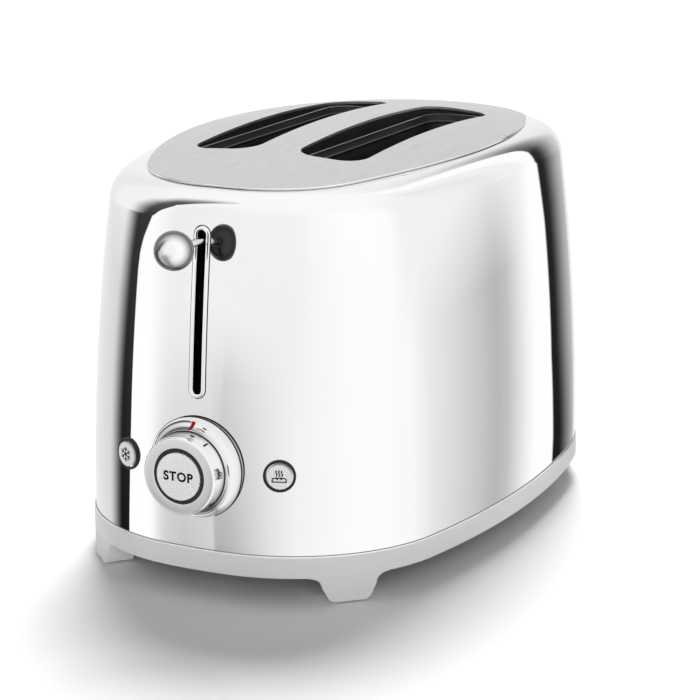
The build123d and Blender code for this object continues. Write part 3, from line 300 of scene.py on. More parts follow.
@dataclass(frozen=True)
class Polished:
    """Polished or satin metal: soft smudges in its gloss and a faint waviness, with painted shade where
    chosen: at a turned-away rim, in hollows and where it is mirrored.

    Attributes:
        rim: how much painted shade darkens it where it turns away, standing in for dark reflections at its
            rim, between its rim start and rim end.
        mirrored_shade: how much painted shade darkens it where another piece mirrors it, standing in for its
            shaded back.
        hollow_shade: how much painted shade darkens it in a hollow, and its reach how near the other side is,
            in metres.
    """

    name: str
    colour: Colour = (0.93, 0.93, 0.935)
    clear: float = 0.02
    dull: float = 0.06
    size: float = 18.0
    wave: float = 0.0
    wave_size: float = 14.0
    rim: float = 0.0
    rim_shade_start: float = 0.35
    rim_shade_end: float = 0.95
    mirrored_shade: float = 0.0
    hollow_shade: float = 0.0
    hollow_shade_reach: float = 0.007

    def material(self) -> bpy.types.Material:
        """Returns: the node material."""
        material, sheet, shader = blank_material(self.name, 1.0, self.colour)
        slow = sheet.noise(sheet.place(), self.wave_size, 1.0)
        shown = sheet.blend(sheet.spread(slow, 0.3, 0.7), shade(self.colour), shade(self.colour, 0.97))
        # Painted shade: the colour darkens where the surface turns away, standing in for dark reflections at
        # the rim
        if self.rim:
            turned = sheet.add("ShaderNodeLayerWeight", {"Blend": 0.5}).outputs["Facing"]
            share = sheet.spread(turned, self.rim_shade_start, self.rim_shade_end, 0.0, self.rim)
            shown = sheet.blend(share, shown, shade(PAINTED_RIM_SHADE))
        # Painted shade: occlusion darkens the colour in hollows
        if self.hollow_shade:
            reach = {"Distance": self.hollow_shade_reach}
            near = sheet.add("ShaderNodeAmbientOcclusion", reach, samples=12).outputs["AO"]
            share = sheet.spread(near, 0.25, 0.95, self.hollow_shade, 0.0)
            shown = sheet.blend(share, shown, shade(PAINTED_HOLLOW_SHADE))
        # Painted shade: darker in glossy rays, as if its back were in shadow where another piece mirrors it
        if self.mirrored_shade:
            mirrored = sheet.times(sheet.add("ShaderNodeLightPath").outputs["Is Glossy Ray"], self.mirrored_shade)
            shown = sheet.blend(mirrored, shown, shade(PAINTED_MIRRORED_SHADE))
        gloss = sheet.effect(SMUDGES, Clear=self.clear, Dull=self.dull, Size=self.size)["Roughness"]
        sheet.feed(shader, {"Roughness": gloss, "Base Color": shown})
        if self.wave:
            sheet.feed(shader, {"Normal": sheet.bump(self.wave, 0.001, slow)})
        return material


@dataclass(frozen=True)
class Brushed:
    """Brushed or rolled sheet: fine lines in tone, gloss and height."""

    name: str
    colour: Colour
    grain: Grain = Grain.ALONG_Y
    rough: float = 0.32
    density: float = 60.0
    depth: float = 0.15
    dirt: float = 0.0
    dirt_colour: Colour = (0.05, 0.035, 0.02)

    def material(self) -> bpy.types.Material:
        """Returns: the node material."""
        material, sheet, shader = blank_material(self.name, 1.0, self.colour)
        lines = sheet.effect(GRAIN, Density=self.density, Stretch=self.grain.value)
        tone = sheet.blend(lines["Mask"], shade(self.colour), shade(self.colour, 0.92))
        if self.dirt:
            tone = sheet.blend(sheet.effect(DUST, Amount=self.dirt)["Mask"], tone, shade(self.dirt_colour))
        gloss = sheet.spread(lines["Mask"], 0.0, 1.0, self.rough * 0.85, self.rough * 1.2)
        sheet.feed(shader, {"Base Color": tone, "Roughness": gloss,
                            "Normal": sheet.bump(self.depth, 0.0001, lines["Height"])})
        return material


@dataclass(frozen=True)
class Moulded:
    """Moulded plastic, enamel, rubber or board: fine skin, slow tone, worn edges and dust."""

    name: str
    colour: Colour
    rough: float = 0.4
    fineness: float = 2600.0
    depth: float = 0.12
    wear: float = 0.25
    worn: Colour = (0.8, 0.8, 0.8)
    dust: float = 0.0
    dusty: Colour = (0.35, 0.3, 0.24)
    specular: float = 0.5

    def material(self) -> bpy.types.Material:
        """Returns: the node material."""
        material, sheet, shader = blank_material(self.name, 0.0, self.colour)
        skin = sheet.effect(SKIN, Fineness=self.fineness)
        tone = sheet.blend(skin["Tone"], shade(self.colour), shade(self.colour, 1.06, 0.002))
        tone = sheet.blend(sheet.effect(WEAR, Amount=self.wear)["Mask"], tone, shade(self.worn))
        if self.dust:
            tone = sheet.blend(sheet.effect(DUST, Amount=self.dust)["Mask"], tone, shade(self.dusty))
        gloss = sheet.spread(skin["Tone"], 0.0, 1.0, self.rough * 0.92, self.rough * 1.12)
        sheet.feed(shader, {"Base Color": tone, "Roughness": gloss, "Specular IOR Level": self.specular,
                            "Normal": sheet.bump(self.depth, 0.00005, skin["Height"])})
        return material


SOOT: Colour = (0.1, 0.1, 0.1)
FINISHES: tuple[Polished | Brushed | Moulded, ...] = (
    Polished("mirror_steel", (0.955, 0.955, 0.96), 0.012, 0.03, 16.0, 0.02, 9.0),
    Brushed("brushed_plate", (0.7, 0.69, 0.685), Grain.ALONG_Y, 0.34, 70.0, 0.12),
    # satin_chrome, turned_chrome, satin_ball and bright_chrome darken their rims with painted shade
    Polished("satin_chrome", (0.93, 0.93, 0.935), 0.1, 0.16, 60.0, rim=0.9, rim_shade_start=0.44, rim_shade_end=0.8),
    # turned_chrome also darkens its hollows with painted shade
    Polished("turned_chrome", (0.9, 0.9, 0.905), 0.08, 0.14, 60.0, rim=0.93, rim_shade_start=0.34, rim_shade_end=0.8,
             hollow_shade=0.85),
    # satin_ball is also darkened by painted shade where the wall mirrors it
    Polished("satin_ball", (0.97, 0.97, 0.98), 0.16, 0.24, 60.0, rim=0.86, rim_shade_start=0.09, rim_shade_end=0.46,
             mirrored_shade=0.96),
    Polished("bright_chrome", (0.96, 0.96, 0.965), 0.04, 0.08, 60.0, rim=0.7, rim_shade_start=0.5),
    Polished("bead_chrome", (0.97, 0.97, 0.97), 0.1, 0.14, 60.0),
    Polished("polished_rod", (0.7, 0.7, 0.71), 0.1, 0.22, 60.0),
    Moulded("black_frame", (0.006, 0.006, 0.007), 0.36, 2400.0, 0.15, 0.2, SOOT, 0.05),
    Moulded("band_plastic", (0.76, 0.76, 0.765), 0.3, 3000.0, 0.05, 0.15, (0.72, 0.72, 0.72)),
    Moulded("foot_rubber", (0.022, 0.022, 0.022), 0.75, 1800.0, 0.3, 0.2, (0.08, 0.08, 0.08), 0.15),
    Brushed("sheet_steel", (0.36, 0.36, 0.37), Grain.ALONG_Z, 0.42, 40.0, 0.25, 0.2),
    Brushed("well_steel", (0.18, 0.183, 0.187), Grain.ALONG_Y, 0.4, 50.0, 0.15),
    Brushed("guard_steel", (0.16, 0.155, 0.15), Grain.ALONG_Z, 0.45, 50.0, 0.25, 0.35),
    Moulded("mica", (0.42, 0.34, 0.23), 0.5, 900.0, 0.3, 0.3, (0.6, 0.52, 0.4), 0.2),
    Brushed("heating_ribbon", (0.23, 0.19, 0.16), Grain.ALONG_Z, 0.5, 50.0, 0.2),
    Moulded("ring_plastic", (0.022, 0.022, 0.024), 0.4, 2600.0, 0.08, 0.2, SOOT, specular=0.2),
    # Grey of the painted shade ring at the wall's foot
    Moulded("gasket", (0.3, 0.3, 0.305), 0.5, 2600.0, 0.08, 0.0, specular=0.2),
    Moulded("silver_cap", (0.83, 0.83, 0.835), 0.36, 3200.0, 0.06, 0.2, (0.9, 0.9, 0.9)),
    Moulded("inner_plastic", (0.03, 0.03, 0.031), 0.55, 2200.0, 0.25, 0.25, SOOT, 0.2),
    Moulded("circuit_board", (0.02, 0.11, 0.045), 0.35, 1500.0, 0.15, 0.2, (0.3, 0.36, 0.25)),
    Brushed("copper_wire", (0.6, 0.24, 0.1), Grain.ALONG_X, 0.35, 90.0, 0.4),
    Moulded("print_ink", (0.006, 0.006, 0.007), 0.5, 3000.0, 0.05, 0.0, specular=0.05),
    Moulded("red_ink", (0.42, 0.01, 0.012), 0.45, 3000.0, 0.05, 0.0, specular=0.1))
MATERIALS: dict[str, bpy.types.Material] = {finish.name: finish.material() for finish in FINISHES}


@dataclass(frozen=True)
class PlanPoint:
    """A point of a plan outline and the way it faces."""

    x: float
    y: float
    nx: float
    ny: float
    turn: float

    def inward(self, inset: float) -> Flat:
        """The place that lies inset behind the point."""
        return self.x - self.nx * inset, self.y - self.ny * inset

    def tilted(self, tilt: float) -> Vector:
        """The outline's normal, tipped up by tilt."""
        return Vector((self.nx * math.cos(tilt), self.ny * math.cos(tilt), math.sin(tilt)))


@dataclass(frozen=True)
class Oval:
    """A plan outline of eight tangent arcs, in millimetres about the body's middle.

    Attributes:
        width: the outline's size in X.
        length: its size in Y.
        side: radius of the two long sides.
        end: radius of the two ends.
        flat: how far apart the corner arcs' centres stand in X.
    """

    width: float
    length: float
    side: float
    end: float
    flat: float

    def corner(self) -> Point:
        """Returns: the corner arc's centre and radius, in the first quarter."""
        side_x, end_y, x = self.width / 2 - self.side, self.length / 2 - self.end, self.flat / 2
        gap = x - side_x
        start = (self.side ** 2 - self.end ** 2 + x ** 2 - gap ** 2 + end_y ** 2) / (2 * end_y)
        slope = (self.side - self.end) / end_y
        a, b, c = slope ** 2 - 1, 2 * self.side - 2 * start * slope, gap ** 2 + start ** 2 - self.side ** 2
        roots = [(turn * math.sqrt(b * b - 4 * a * c) - b) / (2 * a) for turn in (1, -1)]
        radius = max(root for root in roots if root < min(self.side, self.end))
        return x, start - slope * radius, radius

    def turns(self) -> Flat:
        """Returns: the normals' angles where side meets corner and corner meets end."""
        x, y, _ = self.corner()
        side_x, end_y = self.width / 2 - self.side, self.length / 2 - self.end
        return math.atan2(y, x - side_x), math.atan2(y - end_y, x)

    def at(self, turn: float, inset: float = 0.0) -> PlanPoint:
        """The outline's point whose normal is turned from +X by turn.

        Args:
            turn: angle in radians, any quarter.
            inset: how far the outline is drawn in.

        Returns:
            The point.
        """
        nx, ny = math.cos(turn), math.sin(turn)
        folded = math.atan2(abs(ny), abs(nx))
        cx, cy, radius = self.corner()
        low, high = self.turns()
        if folded < low:
            cx, cy, radius = self.width / 2 - self.side, 0.0, self.side
        elif folded > high:
            cx, cy, radius = 0.0, self.length / 2 - self.end, self.end
        sx, sy = math.copysign(1.0, nx), math.copysign(1.0, ny)
        return PlanPoint(sx * cx + (radius - inset) * nx, sy * cy + (radius - inset) * ny, nx, ny, turn)

    def samples(self, step: float) -> list[PlanPoint]:
        """Points all round the outline, never across an arc's end.

        Args:
            step: about how far apart they stand.

        Returns:
            The points, anticlockwise from +X.
        """
        low, high = self.turns()
        quarter = [(0.0, low, self.side), (low, high, self.corner()[2]), (high, math.pi / 2, self.end)]
        turns: list[float] = []
        for start, stop, size in quarter:
            count = max(2, math.ceil((stop - start) * size / step))
            turns += [start + (stop - start) * k / count for k in range(count)]
        back = turns[:0:-1]
        full = turns + [math.pi / 2] + [math.pi - t for t in back]
        full += [math.pi + t for t in turns] + [1.5 * math.pi] + [2 * math.pi - t for t in back]
        return [self.at(turn) for turn in full]

    def normal_of(self, x: float, y: float) -> Flat:
        """The outward normal of the outline nearest to a point.

        Args:
            x: the point's place across.
            y: the point's place along.

        Returns:
            The normal.
        """
        ax, ay = abs(x), abs(y)
        low, high = self.turns()
        cx, cy, _ = self.corner()
        choices = ((self.width / 2 - self.side, 0.0, 0.0, low), (cx, cy, low, high),
                   (0.0, self.length / 2 - self.end, high, math.pi / 2))
        for ox, oy, start, stop in choices:
            angle = math.atan2(ay - oy, ax - ox)
            if start - 1e-6 <= angle <= stop + 1e-6:
                return math.copysign(math.cos(angle), x), math.copysign(math.sin(angle), y)
        return math.copysign(1.0, x), 0.0


def placed(name: str, data: bpy.types.ID) -> Thing:
    """Put a new object in the scene.

    Args:
        name: the object's name.
        data: what it shows.

    Returns:
        The object.
    """
    thing = bpy.data.objects.new(name, data)
    bpy.context.scene.collection.objects.link(thing)
    return thing


def build_mesh(name: str, points: Iterable[Point], faces: Iterable[Sequence[int]]) -> Thing:
    """Make an object from points in millimetres about the body's middle.

    Args:
        name: the object's name.
        points: the corners.
        faces: the faces by corner number.

    Returns:
        The object, smooth shaded, at the origin.
    """
    mesh = bpy.data.meshes.new(name)
    corners = [(x * MM, (y + MIDDLE_Y) * MM, z * MM) for x, y, z in points]
    mesh.from_pydata(corners, [], [tuple(face) for face in faces])
    mesh.validate()
    mesh.shade_smooth()
    return placed(name, mesh)


def bake(thing: Thing) -> Thing:
    """Turn an object's modifiers into its plain mesh and drop them.

    Args:
        thing: the object.

    Returns:
        The same object.
    """
    mesh = bpy.data.meshes.new_from_object(thing.evaluated_get(bpy.context.evaluated_depsgraph_get()))
    mesh.name = thing.name
    thing.modifiers.clear()
    thing.data = mesh
    return thing


def tidy_normals(thing: Thing, sharp: float = 35.0) -> Thing:
    """Merge doubles, turn faces outwards and keep sharp edges crisp.

    Args:
        thing: the object.
        sharp: edges sharper than this angle in degrees stay crisp.

    Returns:
        The same object.
    """
    work = bmesh.new()
    work.from_mesh(thing.data)
    bmesh.ops.remove_doubles(work, verts=work.verts, dist=2e-6)
    bmesh.ops.recalc_face_normals(work, faces=work.faces)
    limit = math.radians(sharp)
    for face in work.faces:
        face.smooth = True
    for edge in work.edges:
        edge.smooth = len(edge.link_faces) == 2 and edge.calc_face_angle(0.0) < limit
    work.to_mesh(thing.data)
    work.free()
    return thing


def ring_faces(count: int, rows: int, closed: bool = True) -> Faces:
    """Faces between closed sections that follow one another.

    Args:
        count: how many sections.
        rows: points in each section.
        closed: whether the last section joins the first.

    Returns:
        The faces by corner number.
    """
    faces = []
    for k in range(count if closed else count - 1):
        here, after = k * rows, (k + 1) % count * rows
        faces += [(here + r, after + r, after + (r + 1) % rows, here + (r + 1) % rows) for r in range(rows)]
    return faces


def hoop(name: str, sections: Sequence[Sequence[Point]], sharp: float) -> Thing:
    """A closed ring through closed sections.

    Args:
        name: the object's name.
        sections: each section's points, the same number in each.
        sharp: edges sharper than this angle stay crisp.

    Returns:
        The ring.
    """
    points = [point for section in sections for point in section]
    return tidy_normals(build_mesh(name, points, ring_faces(len(sections), len(sections[0]))), sharp)


def prism(name: str, outlines: Sequence[Sequence[Point]]) -> Thing:
    """A closed bar with flat ends.

    Args:
        name: the object's name.
        outlines: its like outlines, one after another.

    Returns:
        The bar.
    """
    count, last = len(outlines[0]), (len(outlines) - 1) * len(outlines[0])
    points = [point for outline in outlines for point in outline]
    ends = [tuple(range(count)), tuple(last + k for k in reversed(range(count)))]
    return tidy_normals(build_mesh(name, points, ends + ring_faces(len(outlines), count, False)))


def bevelled(thing: Thing, width: float, segments: int = 3, angle: float = 40.0) -> Thing:
    """Round an object's edges.

    Args:
        thing: the object.
        width: the rounding's width in millimetres.
        segments: its steps.
        angle: edges sharper than this angle in degrees are rounded.

    Returns:
        The same object.
    """
    rounding = thing.modifiers.new("rounding", "BEVEL")
    rounding.width, rounding.segments, rounding.limit_method = width * MM, segments, "ANGLE"
    rounding.angle_limit = math.radians(angle)
    rounding.harden_normals = True
    return bake(thing)


def cut(thing: Thing, cutters: Sequence[Thing], mode: str = "DIFFERENCE") -> Thing:
    """Cut an object by others, which are then removed.

    Args:
        thing: the object.
        cutters: the others.
        mode: DIFFERENCE or INTERSECT.

    Returns:
        The same object.
    """
    for cutter in cutters:
        change = thing.modifiers.new("cut", "BOOLEAN")
        change.object, change.operation, change.solver = cutter, mode, "EXACT"
    bake(thing)
    for cutter in cutters:
        bpy.data.objects.remove(cutter)
    return thing


def slit(work: bmesh.types.BMesh, at: Point, normal: Point, near: float) -> None:
    """Divide every face of a mesh along a plane.

    Args:
        work: the mesh.
        at: a point of the plane.
        normal: the plane's normal.
        near: corners nearer than this count as on the plane.
    """
    geometry = work.verts[:] + work.edges[:] + work.faces[:]
    bmesh.ops.bisect_plane(work, geom=geometry, dist=near, plane_co=at, plane_no=normal)


def dress(thing: Thing, finish: str, body: str, *nodes: str) -> Thing:
    """Give a piece its finish, its body and the nodes it stands for.

    Args:
        thing: the finished piece.
        finish: the name of one of FINISHES.
        body: the moving body it rides on.
        nodes: the nodes that it replaces.

    Returns:
        The same piece.
    """
    thing.data.materials.clear()
    thing.data.materials.append(MATERIALS[finish])
    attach(thing, body)
    if nodes:
        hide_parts(*nodes)
        REPLACED.update(nodes)
    LOG.info("%s: %s on %s", thing.name, finish, body)
    return thing


@dataclass(frozen=True)
class Seat:
    """A place on the wall: where a control sits and which ways are across, up and out."""

    origin: Point
    across: Point
    up: Point
    out: Point

    def place(self, u: float, v: float, w: float) -> Point:
        """The point u across, v up and w out of the seat."""
        return tuple(o + u * a + v * b + w * c
                     for o, a, b, c in zip(self.origin, self.across, self.up, self.out))


def spun(name: str, profile: Sequence[Flat], seat: Seat, segments: int = 96, closed: bool = False) -> Thing:
    """Spin a profile about a seat's outward axis.

    Args:
        name: the object's name.
        profile: radius and distance out, from one end to the other.
        seat: the axis.
        segments: steps round.
        closed: whether the profile's end joins its start.

    Returns:
        The closed piece.
    """
    turns = [2 * math.pi * k / segments for k in range(segments)]
    points = [seat.place(radius * math.cos(t), radius * math.sin(t), out)
              for radius, out in profile for t in turns]
    return tidy_normals(build_mesh(name, points, ring_faces(len(profile), segments, closed)), 30.0)


def arc(cx: float, cy: float, radius: float, start: float, stop: float, steps: int) -> list[Flat]:
    """Points of an arc between two angles in degrees."""
    turns = [math.radians(start + (stop - start) * k / steps) for k in range(steps + 1)]
    return [(cx + radius * math.cos(t), cy + radius * math.sin(t)) for t in turns]


def hollow(start: Flat, stop: Flat, steps: int, draw: float, drop: float) -> list[Flat]:
    """A hollow curve between two points.

    Args:
        start: the first point.
        stop: the last point.
        steps: how many steps it has.
        draw: how soon it moves along the first axis.
        drop: how late it moves along the second axis.

    Returns:
        The curve's points.
    """
    shares = [k / steps for k in range(steps + 1)]
    return [(start[0] + (stop[0] - start[0]) * (1 - (1 - share) ** draw),
             start[1] + (stop[1] - start[1]) * share ** drop) for share in shares]


def oblong(inner: float, outer: float, low: float, high: float) -> list[Flat]:
    """A square-cornered section between two distances and two heights."""
    return [(inner, low), (outer, low), (outer, high), (inner, high)]


def rounded_box(width: float, height: float, radius: float, steps: int = 8) -> list[Flat]:
    """Outline of a rectangle with rounded corners, about its middle.

    Args:
        width: its width.
        height: its height.
        radius: its corners' radius.
        steps: steps in each corner.

    Returns:
        The outline's points.
    """
    x, y = width / 2 - radius, height / 2 - radius
    corners = ((x, y), (-x, y), (-x, -y), (x, -y))
    return [point for k, (cx, cy) in enumerate(corners)
            for point in arc(cx, cy, radius, 90 * k, 90 * k + 90, steps)]


def filled(outlines: Sequence[Sequence[Flat]], cell: float) -> bmesh.types.BMesh:
    """A flat face with holes, cut into cells.

    Args:
        outlines: the outer outline, then any holes.
        cell: the size of a cell.

    Returns:
        The mesh in the XY plane.
    """
    work = bmesh.new()
    for outline in outlines:
        corners = [work.verts.new((x, y, 0.0)) for x, y in outline]
        for k, corner in enumerate(corners):
            if (corner.co - corners[k - 1].co).length > 1e-6:
                work.edges.new((corners[k - 1], corner))
    bmesh.ops.remove_doubles(work, verts=work.verts, dist=1e-4)
    bmesh.ops.triangle_fill(work, use_beauty=True, use_dissolve=False, edges=work.edges)
    xs, ys = [v.co.x for v in work.verts], [v.co.y for v in work.verts]
    for low, high, normal in ((min(xs), max(xs), (1, 0, 0)), (min(ys), max(ys), (0, 1, 0))):
        for k in range(1, math.ceil((high - low) / cell)):
            slit(work, Vector(normal) * (low + k * cell), normal, 1e-5)
    return work


def panel(name: str, outlines: Sequence[Sequence[Flat]], cell: float,
          surface: Callable[[float, float, float], Point], thickness: float) -> Thing:
    """A curved sheet with holes.

    Args:
        name: the object's name.
        outlines: the outer outline, then any holes.
        cell: the size of a cell.
        surface: gives the place of a flat point at a depth below the outer surface.
        thickness: the sheet's thickness.

    Returns:
        The closed sheet.
    """
    work = filled(outlines, cell)
    work.verts.index_update()
    count = len(work.verts)
    points = [surface(v.co.x, v.co.y, depth) for depth in (0.0, thickness) for v in work.verts]
    faces: Faces = []
    for face in work.faces:
        ring = [v.index for v in face.verts]
        faces += [tuple(ring), tuple(count + k for k in reversed(ring))]
    for edge in work.edges:
        if len(edge.link_faces) == 1:
            a, b = edge.verts[0].index, edge.verts[1].index
            faces.append((a, b, count + b, count + a))
    work.free()
    return tidy_normals(build_mesh(name, points, faces), 40.0)


@dataclass
class Form:
    """The body's main surfaces: plan, bowed wall and domed crown.

    Attributes:
        plan: the body's outline, which the band keeps.
        plate: the top plate's outline.
        band_top: height at which the wall is widest.
        bow: radius of the wall's bow.
        height: the crown's highest place.
        across: the crown's radius over X.
        along: the crown's radius over Y.
        step: how far the wall stands in from the band.
    """

    plan: Oval = field(default_factory=lambda: Oval(194.6, 304.0, 447.0, 214.0, 19.46))
    plate: Oval = field(default_factory=lambda: Oval(151.5, 259.6, 232.0, 165.5, 11.4))
    band_top: float = 23.2
    bow: float = 1150.0
    height: float = 198.0
    across: float = 426.0
    along: float = 853.0
    step: float = 0.8

    def wall_in(self, z: float) -> float:
        """How far the wall has come in at height z."""
        return (z - self.band_top) ** 2 / (2 * self.bow)

    def lean(self, z: float) -> float:
        """The wall's tilt at height z."""
        return math.atan((z - self.band_top) / self.bow)

    def crown(self, x: float, y: float, depth: float = 0.0) -> float:
        """Height of the crown, sunk by depth, over a point."""
        ring = self.along - self.across + math.sqrt((self.across - depth) ** 2 - x * x)
        return self.height - self.along + math.sqrt(ring * ring - y * y)

    def crown_normal(self, x: float, y: float, depth: float) -> Vector:
        """Upward normal of the sunk crown over a point.

        Args:
            x: the point's place across.
            y: the point's place along.
            depth: how far the crown is sunk.

        Returns:
            The normal.
        """
        near = SLOPE_STEP
        slope_x = (self.crown(x + near, y, depth) - self.crown(x - near, y, depth)) / (2 * near)
        slope_y = (self.crown(x, y + near, depth) - self.crown(x, y - near, depth)) / (2 * near)
        return Vector((-slope_x, -slope_y, 1.0)).normalized()

    def front(self, x: float, z: float) -> float:
        """Y of the front wall's surface.

        Args:
            x: place across.
            z: height.

        Returns:
            The surface's Y.
        """
        inset = self.wall_in(z) + self.step
        cx, cy, radius = self.plan.corner()
        if abs(x) <= self.plan.end * math.cos(self.plan.turns()[1]):
            return -(self.plan.length / 2 - self.plan.end + math.sqrt((self.plan.end - inset) ** 2 - x * x))
        return -(cy + math.sqrt((radius - inset) ** 2 - (abs(x) - cx) ** 2))

    def wall_normal(self, x: float, y: float, z: float) -> Vector:
        """Outward normal of the wall at a point on it."""
        return PlanPoint(x, y, *self.plan.normal_of(x, y), 0.0).tilted(self.lean(z))

    def front_seat(self, z: float) -> Seat:
        """The seat on the front wall's middle line at height z."""
        return Seat((0.0, self.front(0.0, z), z), (1, 0, 0), (0, 0, 1), (0, -1, 0))

    def side_seat(self, side: int, turn: float, z: float) -> Seat:
        """The seat of a button beside the dial.

        Args:
            side: -1 for left or 1 for right.
            turn: degrees round from the front.
            z: height.

        Returns:
            The seat.
        """
        angle = math.radians(turn)
        spot = self.plan.at(math.radians(90 - turn), self.wall_in(z) + self.step)
        return Seat((side * spot.x, -spot.y, z), (math.cos(angle), side * math.sin(angle), 0), (0, 0, 1),
                    (side * math.sin(angle), -math.cos(angle), 0))


FORM = Form()


@dataclass
class Shell:
    """The pressed steel body: bowed wall, rolled shoulder and the seat under the plate.

    Attributes:
        depth: how far the shell's crown lies below the plate's.
        shoulder: radius of the rolled shoulder.
        seat: how far the shell reaches in under the plate's rim.
        first_guess: the wall's top and the roof's inset, before the rounds that find them.
        slot: width, foot and top of the lever's slot.
        tray: width, height and corner radius of the tray's pull.
        scoop: radius of the finger hold in the pull.
    """

    bottom: float = 20.2
    gauge: float = 1.0
    depth: float = 1.3
    shoulder: float = 16.0
    seat: float = 5.0
    column_step: float = 3.0
    wall_rows: int = 40
    shoulder_rows: int = 14
    crown_rows: int = 5
    first_guess: Flat = (172.0, 28.0)
    rounds: int = 12
    slot: Point = (6.4, 94.5, 170.5)
    tray: Point = (112.0, 13.0, 4.0)
    tray_z: float = 30.2
    tray_gap: float = 0.4
    pull_gauge: float = 2.4
    scoop: float = 4.0
    scoop_reach: float = 22.0
    overshoot: float = 5.0
    slot_reach: float = 30.0
    tray_reach: float = 45.0

    def profile(self, spot: PlanPoint) -> list[tuple[Point, Vector]]:
        """Places and normals from the wall's foot over the shoulder to the plate's seat.

        Args:
            spot: the plan point above which the profile stands.

        Returns:
            Points with their outward normals.
        """
        form, r = FORM, self.shoulder

        def roof(s: float) -> float:
            """Height of the sunk crown, s in from the outline."""
            return form.crown(*spot.inward(s), self.depth)

        z_wall, s_roof = self.first_guess
        for _ in range(self.rounds):
            lean = form.lean(z_wall)
            rise = (roof(s_roof + SLOPE_STEP) - roof(s_roof - SLOPE_STEP)) / (2 * SLOPE_STEP)
            length = math.hypot(1.0, rise)
            z_mid = roof(s_roof) - r / length
            z_wall = z_mid + r * math.sin(lean)
            s_mid = form.step + form.wall_in(z_wall) + r * math.cos(lean)
            s_roof = s_mid - r * rise / length
        rows: list[tuple[Point, Vector]] = []
        for k in range(self.wall_rows):
            z = self.bottom + (z_wall - self.bottom) * k / self.wall_rows
            rows.append(((*spot.inward(form.step + form.wall_in(z)), z), spot.tilted(form.lean(z))))
        top_tilt = math.pi / 2 - math.atan(rise)
        for k in range(self.shoulder_rows + 1):
            tilt = lean + (top_tilt - lean) * k / self.shoulder_rows
            place = (*spot.inward(s_mid - r * math.cos(tilt)), z_mid + r * math.sin(tilt))
            rows.append((place, spot.tilted(tilt)))
        end_x, end_y = spot.inward(s_roof)
        goal = form.plate.at(spot.turn, self.seat)
        for k in range(1, self.crown_rows + 1):
            share = k / self.crown_rows
            x, y = end_x + (goal.x - end_x) * share, end_y + (goal.y - end_y) * share
            rows.append(((x, y, form.crown(x, y, self.depth)), form.crown_normal(x, y, self.depth)))
        return rows

    def skin(self, name: str, gauge: float) -> tuple[Thing, list[tuple[Point, Vector]]]:
        """The whole closed skin.

        Args:
            name: the object's name.
            gauge: its thickness.

        Returns:
            The skin, and its outer points with their normals.
        """
        columns = [self.profile(spot) for spot in FORM.plan.samples(self.column_step)]
        points: list[Point] = []
        for column in columns:
            points += [place for place, _ in column]
            points += [tuple(p - gauge * n for p, n in zip(place, normal))
                       for place, normal in reversed(column)]
        faces = ring_faces(len(columns), 2 * len(columns[0]))
        return build_mesh(name, points, faces), [row for column in columns for row in column]

    @staticmethod
    def set_normals(thing: Thing, known: list[tuple[Point, Vector]]) -> None:
        """Give the outer faces their exact normals, so that reflections run clean.

        Args:
            thing: a piece cut from the skin.
            known: the skin's outer points with their normals.
        """
        mesh = thing.data
        tree = KDTree(len(known))
        for index, (place, _) in enumerate(known):
            tree.insert(place, index)
        tree.balance()
        exact = []
        for corner in mesh.vertices:
            place = (corner.co.x / MM, corner.co.y / MM - MIDDLE_Y, corner.co.z / MM)
            _, index, distance = tree.find(place)
            exact.append(known[index][1] if distance < SAME_PLACE else FORM.wall_normal(*place))
        loops = [Vector()] * len(mesh.loops)
        for face in mesh.polygons:
            facing = Vector(face.normal)
            for loop in face.loop_indices:
                normal = exact[mesh.loops[loop].vertex_index]
                loops[loop] = normal if facing.dot(normal) > SAME_WAY else facing
        mesh.normals_split_custom_set(loops)

    @staticmethod
    def bar(name: str, outline: Sequence[Flat], lift: float, start: float, stop: float) -> Thing:
        """A bar along Y with an outline in X and Z."""
        return prism(name, [[(x, y, z + lift) for x, z in outline] for y in (start, stop)])

    def slot_cutter(self) -> Thing:
        """Returns: a round-ended bar through the front wall."""
        width, low, high = self.slot
        front = -FORM.plan.length / 2
        return self.bar("slot_cutter", rounded_box(width, high - low, width / 2, 12), (low + high) / 2,
                        front - self.overshoot, front + self.slot_reach)

    def tray_cutter(self, margin: float) -> Thing:
        """Rounded bar through the rear wall where the crumb tray's pull sits."""
        width, height, radius = self.tray
        rear = FORM.plan.length / 2
        return self.bar("tray_cutter", rounded_box(width + 2 * margin, height + 2 * margin, radius + margin),
                        self.tray_z, rear - self.tray_reach, rear + self.overshoot)

    def build(self) -> None:
        """Build the shell and the tray's pull, which is cut from the same wall."""
        thing, known = self.skin("mirror_shell", self.gauge)
        cut(thing, [self.slot_cutter(), self.tray_cutter(self.tray_gap)])
        self.set_normals(thing, known)
        dress(thing, "mirror_steel", "housing", "outer_shell")
        pull, known = self.skin("tray_pull_skin", self.pull_gauge)
        cut(pull, [self.tray_cutter(0.0)], "INTERSECT")
        reach = -FORM.front(0.0, self.tray_z) + FORM.step
        low = self.tray_z - self.tray[1] / 2 + 1
        scoop = arc(0, 0, self.scoop, 0, 360, 24)[:-1]
        cut(pull, [prism("scoop", [[(side * self.scoop_reach, reach + y, low + z) for y, z in scoop]
                                   for side in (-1, 1)])])
        self.set_normals(pull, known)
        dress(pull, "mirror_steel", "tray", "tray_pull")


